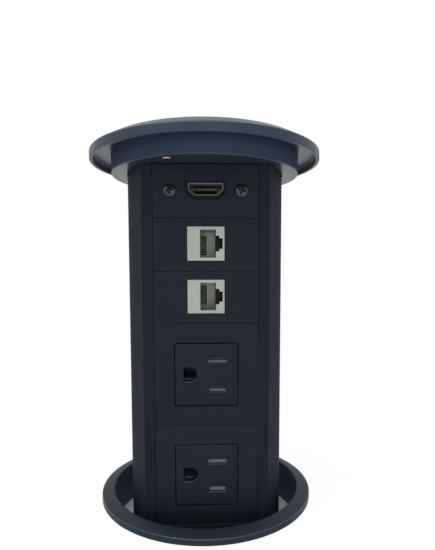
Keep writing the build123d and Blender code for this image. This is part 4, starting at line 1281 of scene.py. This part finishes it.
low, high = mm_box("skirt_screws")
near_screw = cross_screw(
    "skirt_plate_screws", "zinc_screw", SKIRT_SCREW_R, SKIRT_SCREW_H, SKIRT_SHANK_R, high.z - low.z
)
far_screw = copied(near_screw, "skirt_plate_screw_far")
for small_screw, turn in zip((near_screw, far_screw), SKIRT_SCREW_TURNS):
    around = radians(turn)
    place = (SKIRT_SCREW_RING * cos(around), SKIRT_SCREW_RING * sin(around), low.z)
    placed(small_screw, place, 180, turn)
finish_piece(joined(near_screw, far_screw), "zinc_screw", "column", "skirt_screws", smooth=40)

# %% [markdown]
# ## The clamp under the desk
#
# A pressure ring lies against the desk's underside, and a nut with finger hollows drives it up the
# collar's thread. Both are turned. The nut's twelve hollows are cut with rods that lean in a
# little at the foot, so a hollow is deeper where the fingers push, and a thread shows in its bore.

# %% Turn the pressure ring
CLAMP_BORE_R, WASHER_CHAMFER, WASHER_ROUND = 47.4, 0.3, 0.5

low, high = mm_box("clamp_washer")
washer_section = rounded(
    [
        (CLAMP_BORE_R, high.z - WASHER_CHAMFER),
        (CLAMP_BORE_R, low.z + WASHER_CHAMFER),
        (CLAMP_BORE_R + WASHER_CHAMFER, low.z),
        (high.x, low.z, WASHER_ROUND),
        (high.x, high.z, WASHER_ROUND),
        (CLAMP_BORE_R + WASHER_CHAMFER, high.z),
    ]
)
pressure_ring = turned_piece("pressure_ring", washer_section)
finish_piece(pressure_ring, slot_of["clamp_washer"], "clamp_ring", "clamp_washer")

# %% Turn the nut and cut its hollows
NUT_TOP_CHAMFER, NUT_FOOT_CHAMFER = 1.0, 0.8
GROOVES, GROOVE_START, GROOVE_DEPTH, GROOVE_HALF = 3, 2.0, 0.6, 1.2
HOLLOW_R, HOLLOW_OUT, HOLLOW_LEAN, HOLLOWS = 5.0, 1.4, 0.5, 12

low, high = mm_box("clamp_nut")
nut_section = [(CLAMP_BORE_R, high.z - NUT_TOP_CHAMFER)]
for groove in range(GROOVES):
    top = high.z - GROOVE_START - THREAD_PITCH * groove
    nut_section.append((CLAMP_BORE_R, top))
    nut_section.append((CLAMP_BORE_R + GROOVE_DEPTH, top - GROOVE_HALF))
    nut_section.append((CLAMP_BORE_R, top - 2 * GROOVE_HALF))
nut_section += rounded(
    [
        (CLAMP_BORE_R, low.z + NUT_FOOT_CHAMFER),
        (CLAMP_BORE_R + NUT_FOOT_CHAMFER, low.z),
        (high.x, low.z, 1.4),
        (high.x, high.z, 1.0),
        (CLAMP_BORE_R + NUT_TOP_CHAMFER, high.z),
    ]
)
hand_nut = turned_piece("hand_nut", nut_section)
for hollow in range(HOLLOWS):
    finger = rod("finger", HOLLOW_R, low.z - THROUGH, high.z + THROUGH, (high.x + HOLLOW_OUT, 0))
    for corner in finger.data.vertices:
        if corner.co.z < low.z * MM:
            corner.co.x -= HOLLOW_LEAN * MM
    finger.data.transform(Matrix.Rotation(radians(360 / HOLLOWS * hollow), 4, "Z"))
    combine(hand_nut, finger)
finish_piece(hand_nut, slot_of["clamp_nut"], "nut", "clamp_nut")

# %% [markdown]
# ## The barrel's end and the cord gland
#
# The barrel is closed by a turned cover with a soft lower edge and a shallow step, like the end of
# a drinks can. The gland is a bought part: a body with a spanner hexagon, whose corners are turned
# off at both ends, and a domed nut with hollows for the fingers, open at its tip for the cord.

# %% Turn the cover
GLAND_THREAD_R, GLAND_PLAY = 6.0, 0.1
BARREL_WALL, SPIGOT_GAP, SPIGOT_WALL = 2.3, 0.1, 3.0
HUB_R, HUB_SLOPE, HUB_UP, STEP_UP = 13.0, 0.6, 0.4, 1.0
STEP_IN, STEP_SLOPE, COVER_ROUND = 8.0, 1.0, 1.6

low, high = mm_box("bottom_cover")
cover_top = mm_box("barrel")[0].z
cover_r = high.x
spigot_r = cover_r - BARREL_WALL - SPIGOT_GAP
cover_section = rounded(
    [
        (GLAND_THREAD_R + GLAND_PLAY, cover_top),
        (GLAND_THREAD_R + GLAND_PLAY, low.z + HUB_UP),
        (HUB_R, low.z + HUB_UP),
        (HUB_R + HUB_SLOPE, low.z + STEP_UP),
        (cover_r - STEP_IN, low.z + STEP_UP),
        (cover_r - STEP_IN + STEP_SLOPE, low.z),
        (cover_r, low.z, COVER_ROUND),
        (cover_r, cover_top),
        (spigot_r, cover_top),
        (spigot_r, high.z),
        (spigot_r - SPIGOT_WALL, high.z),
        (spigot_r - SPIGOT_WALL, cover_top),
    ]
)
end_cover = turned_piece("end_cover", cover_section)
cover_bore = {"head_r": 1.95, "head_h": 1.0, "shank_r": 1.15, "outside_r": spigot_r}
for turn in SCREW_TURNS:
    combine(end_cover, screw_bore(height=mid_height("cover_screws"), turn=turn, **cover_bore))
finish_piece(end_cover, slot_of["bottom_cover"], "base", "bottom_cover")

# %% Shape the gland's body
HEX_HALF, HEX_H, STEM_R, GLAND_BORE_R = 10.0, 5.0, 7.5, 4.5
FOOT_CUT_W, FOOT_CUT_H, TOP_CUT_W, TOP_CUT_H = 1.2, 0.8, 0.7, 0.5
BLANK_OVER, ROOTED = 0.1, 0.5

low, high = mm_box("gland_body")
hex_top = mm_box("bottom_cover")[0].z
hex_foot = hex_top - HEX_H
corner_r = HEX_HALF / cos(pi / 6)
hexagon = rod("gland_hexagon", corner_r, hex_foot, hex_top, sides=6)
hexagon.data.transform(Matrix.Rotation(pi / 6, 4, "Z"))
lathe_outline = [
    (corner_r - FOOT_CUT_W, hex_foot),
    (corner_r + BLANK_OVER, hex_foot + FOOT_CUT_H),
    (corner_r + BLANK_OVER, hex_top - TOP_CUT_H),
    (corner_r - TOP_CUT_W, hex_top),
]
combine(hexagon, turned_piece("blank", lathe_outline, closed=False), "INTERSECT")
combine(hexagon, rod("upper_thread", GLAND_THREAD_R, hex_top - ROOTED, high.z), "UNION")
combine(hexagon, rod("stem", STEM_R, low.z, hex_foot + ROOTED), "UNION")
combine(hexagon, rod("bore", GLAND_BORE_R, low.z - THROUGH, high.z + THROUGH))
combine(hexagon, rod("seal_seat", GLAND_THREAD_R, low.z - THROUGH, mm_box("gland_seal")[1].z))
finish_piece(hexagon, slot_of["gland_body"], "base", "gland_body")

# %% Turn the gland's domed nut
DOME_R, TIP_H, CORD_R, CORD_CHAMFER = 10.0, 3.0, 4.0, 0.4
DOME_TOP_W, DOME_H, STEM_PLAY = 2.5, 4.0, 0.05
GRIP_R, GRIP_OUT, GRIP_TOP = 1.1, 0.6, 0.8

low, high = mm_box("gland_nut")
dome_section = rounded(
    [
        (CORD_R, low.z + TIP_H),
        (CORD_R, low.z + CORD_CHAMFER),
        (CORD_R + CORD_CHAMFER, low.z),
        (DOME_R - DOME_TOP_W, low.z, 0.8),
        (DOME_R, low.z + DOME_H, 3.0),
        (DOME_R, high.z, 0.4),
        (STEM_R + STEM_PLAY, high.z),
        (STEM_R + STEM_PLAY, low.z + TIP_H),
    ]
)
dome_nut = turned_piece("gland_dome_nut", dome_section, sides=144)
for hollow in range(HOLLOWS):
    turn = radians(360 / HOLLOWS * hollow)
    place = ((DOME_R + GRIP_OUT) * cos(turn), (DOME_R + GRIP_OUT) * sin(turn))
    combine(dome_nut, rod("finger", GRIP_R, low.z - THROUGH, high.z - GRIP_TOP, place, sides=24))
finish_piece(dome_nut, slot_of["gland_nut"], "base", "gland_nut")
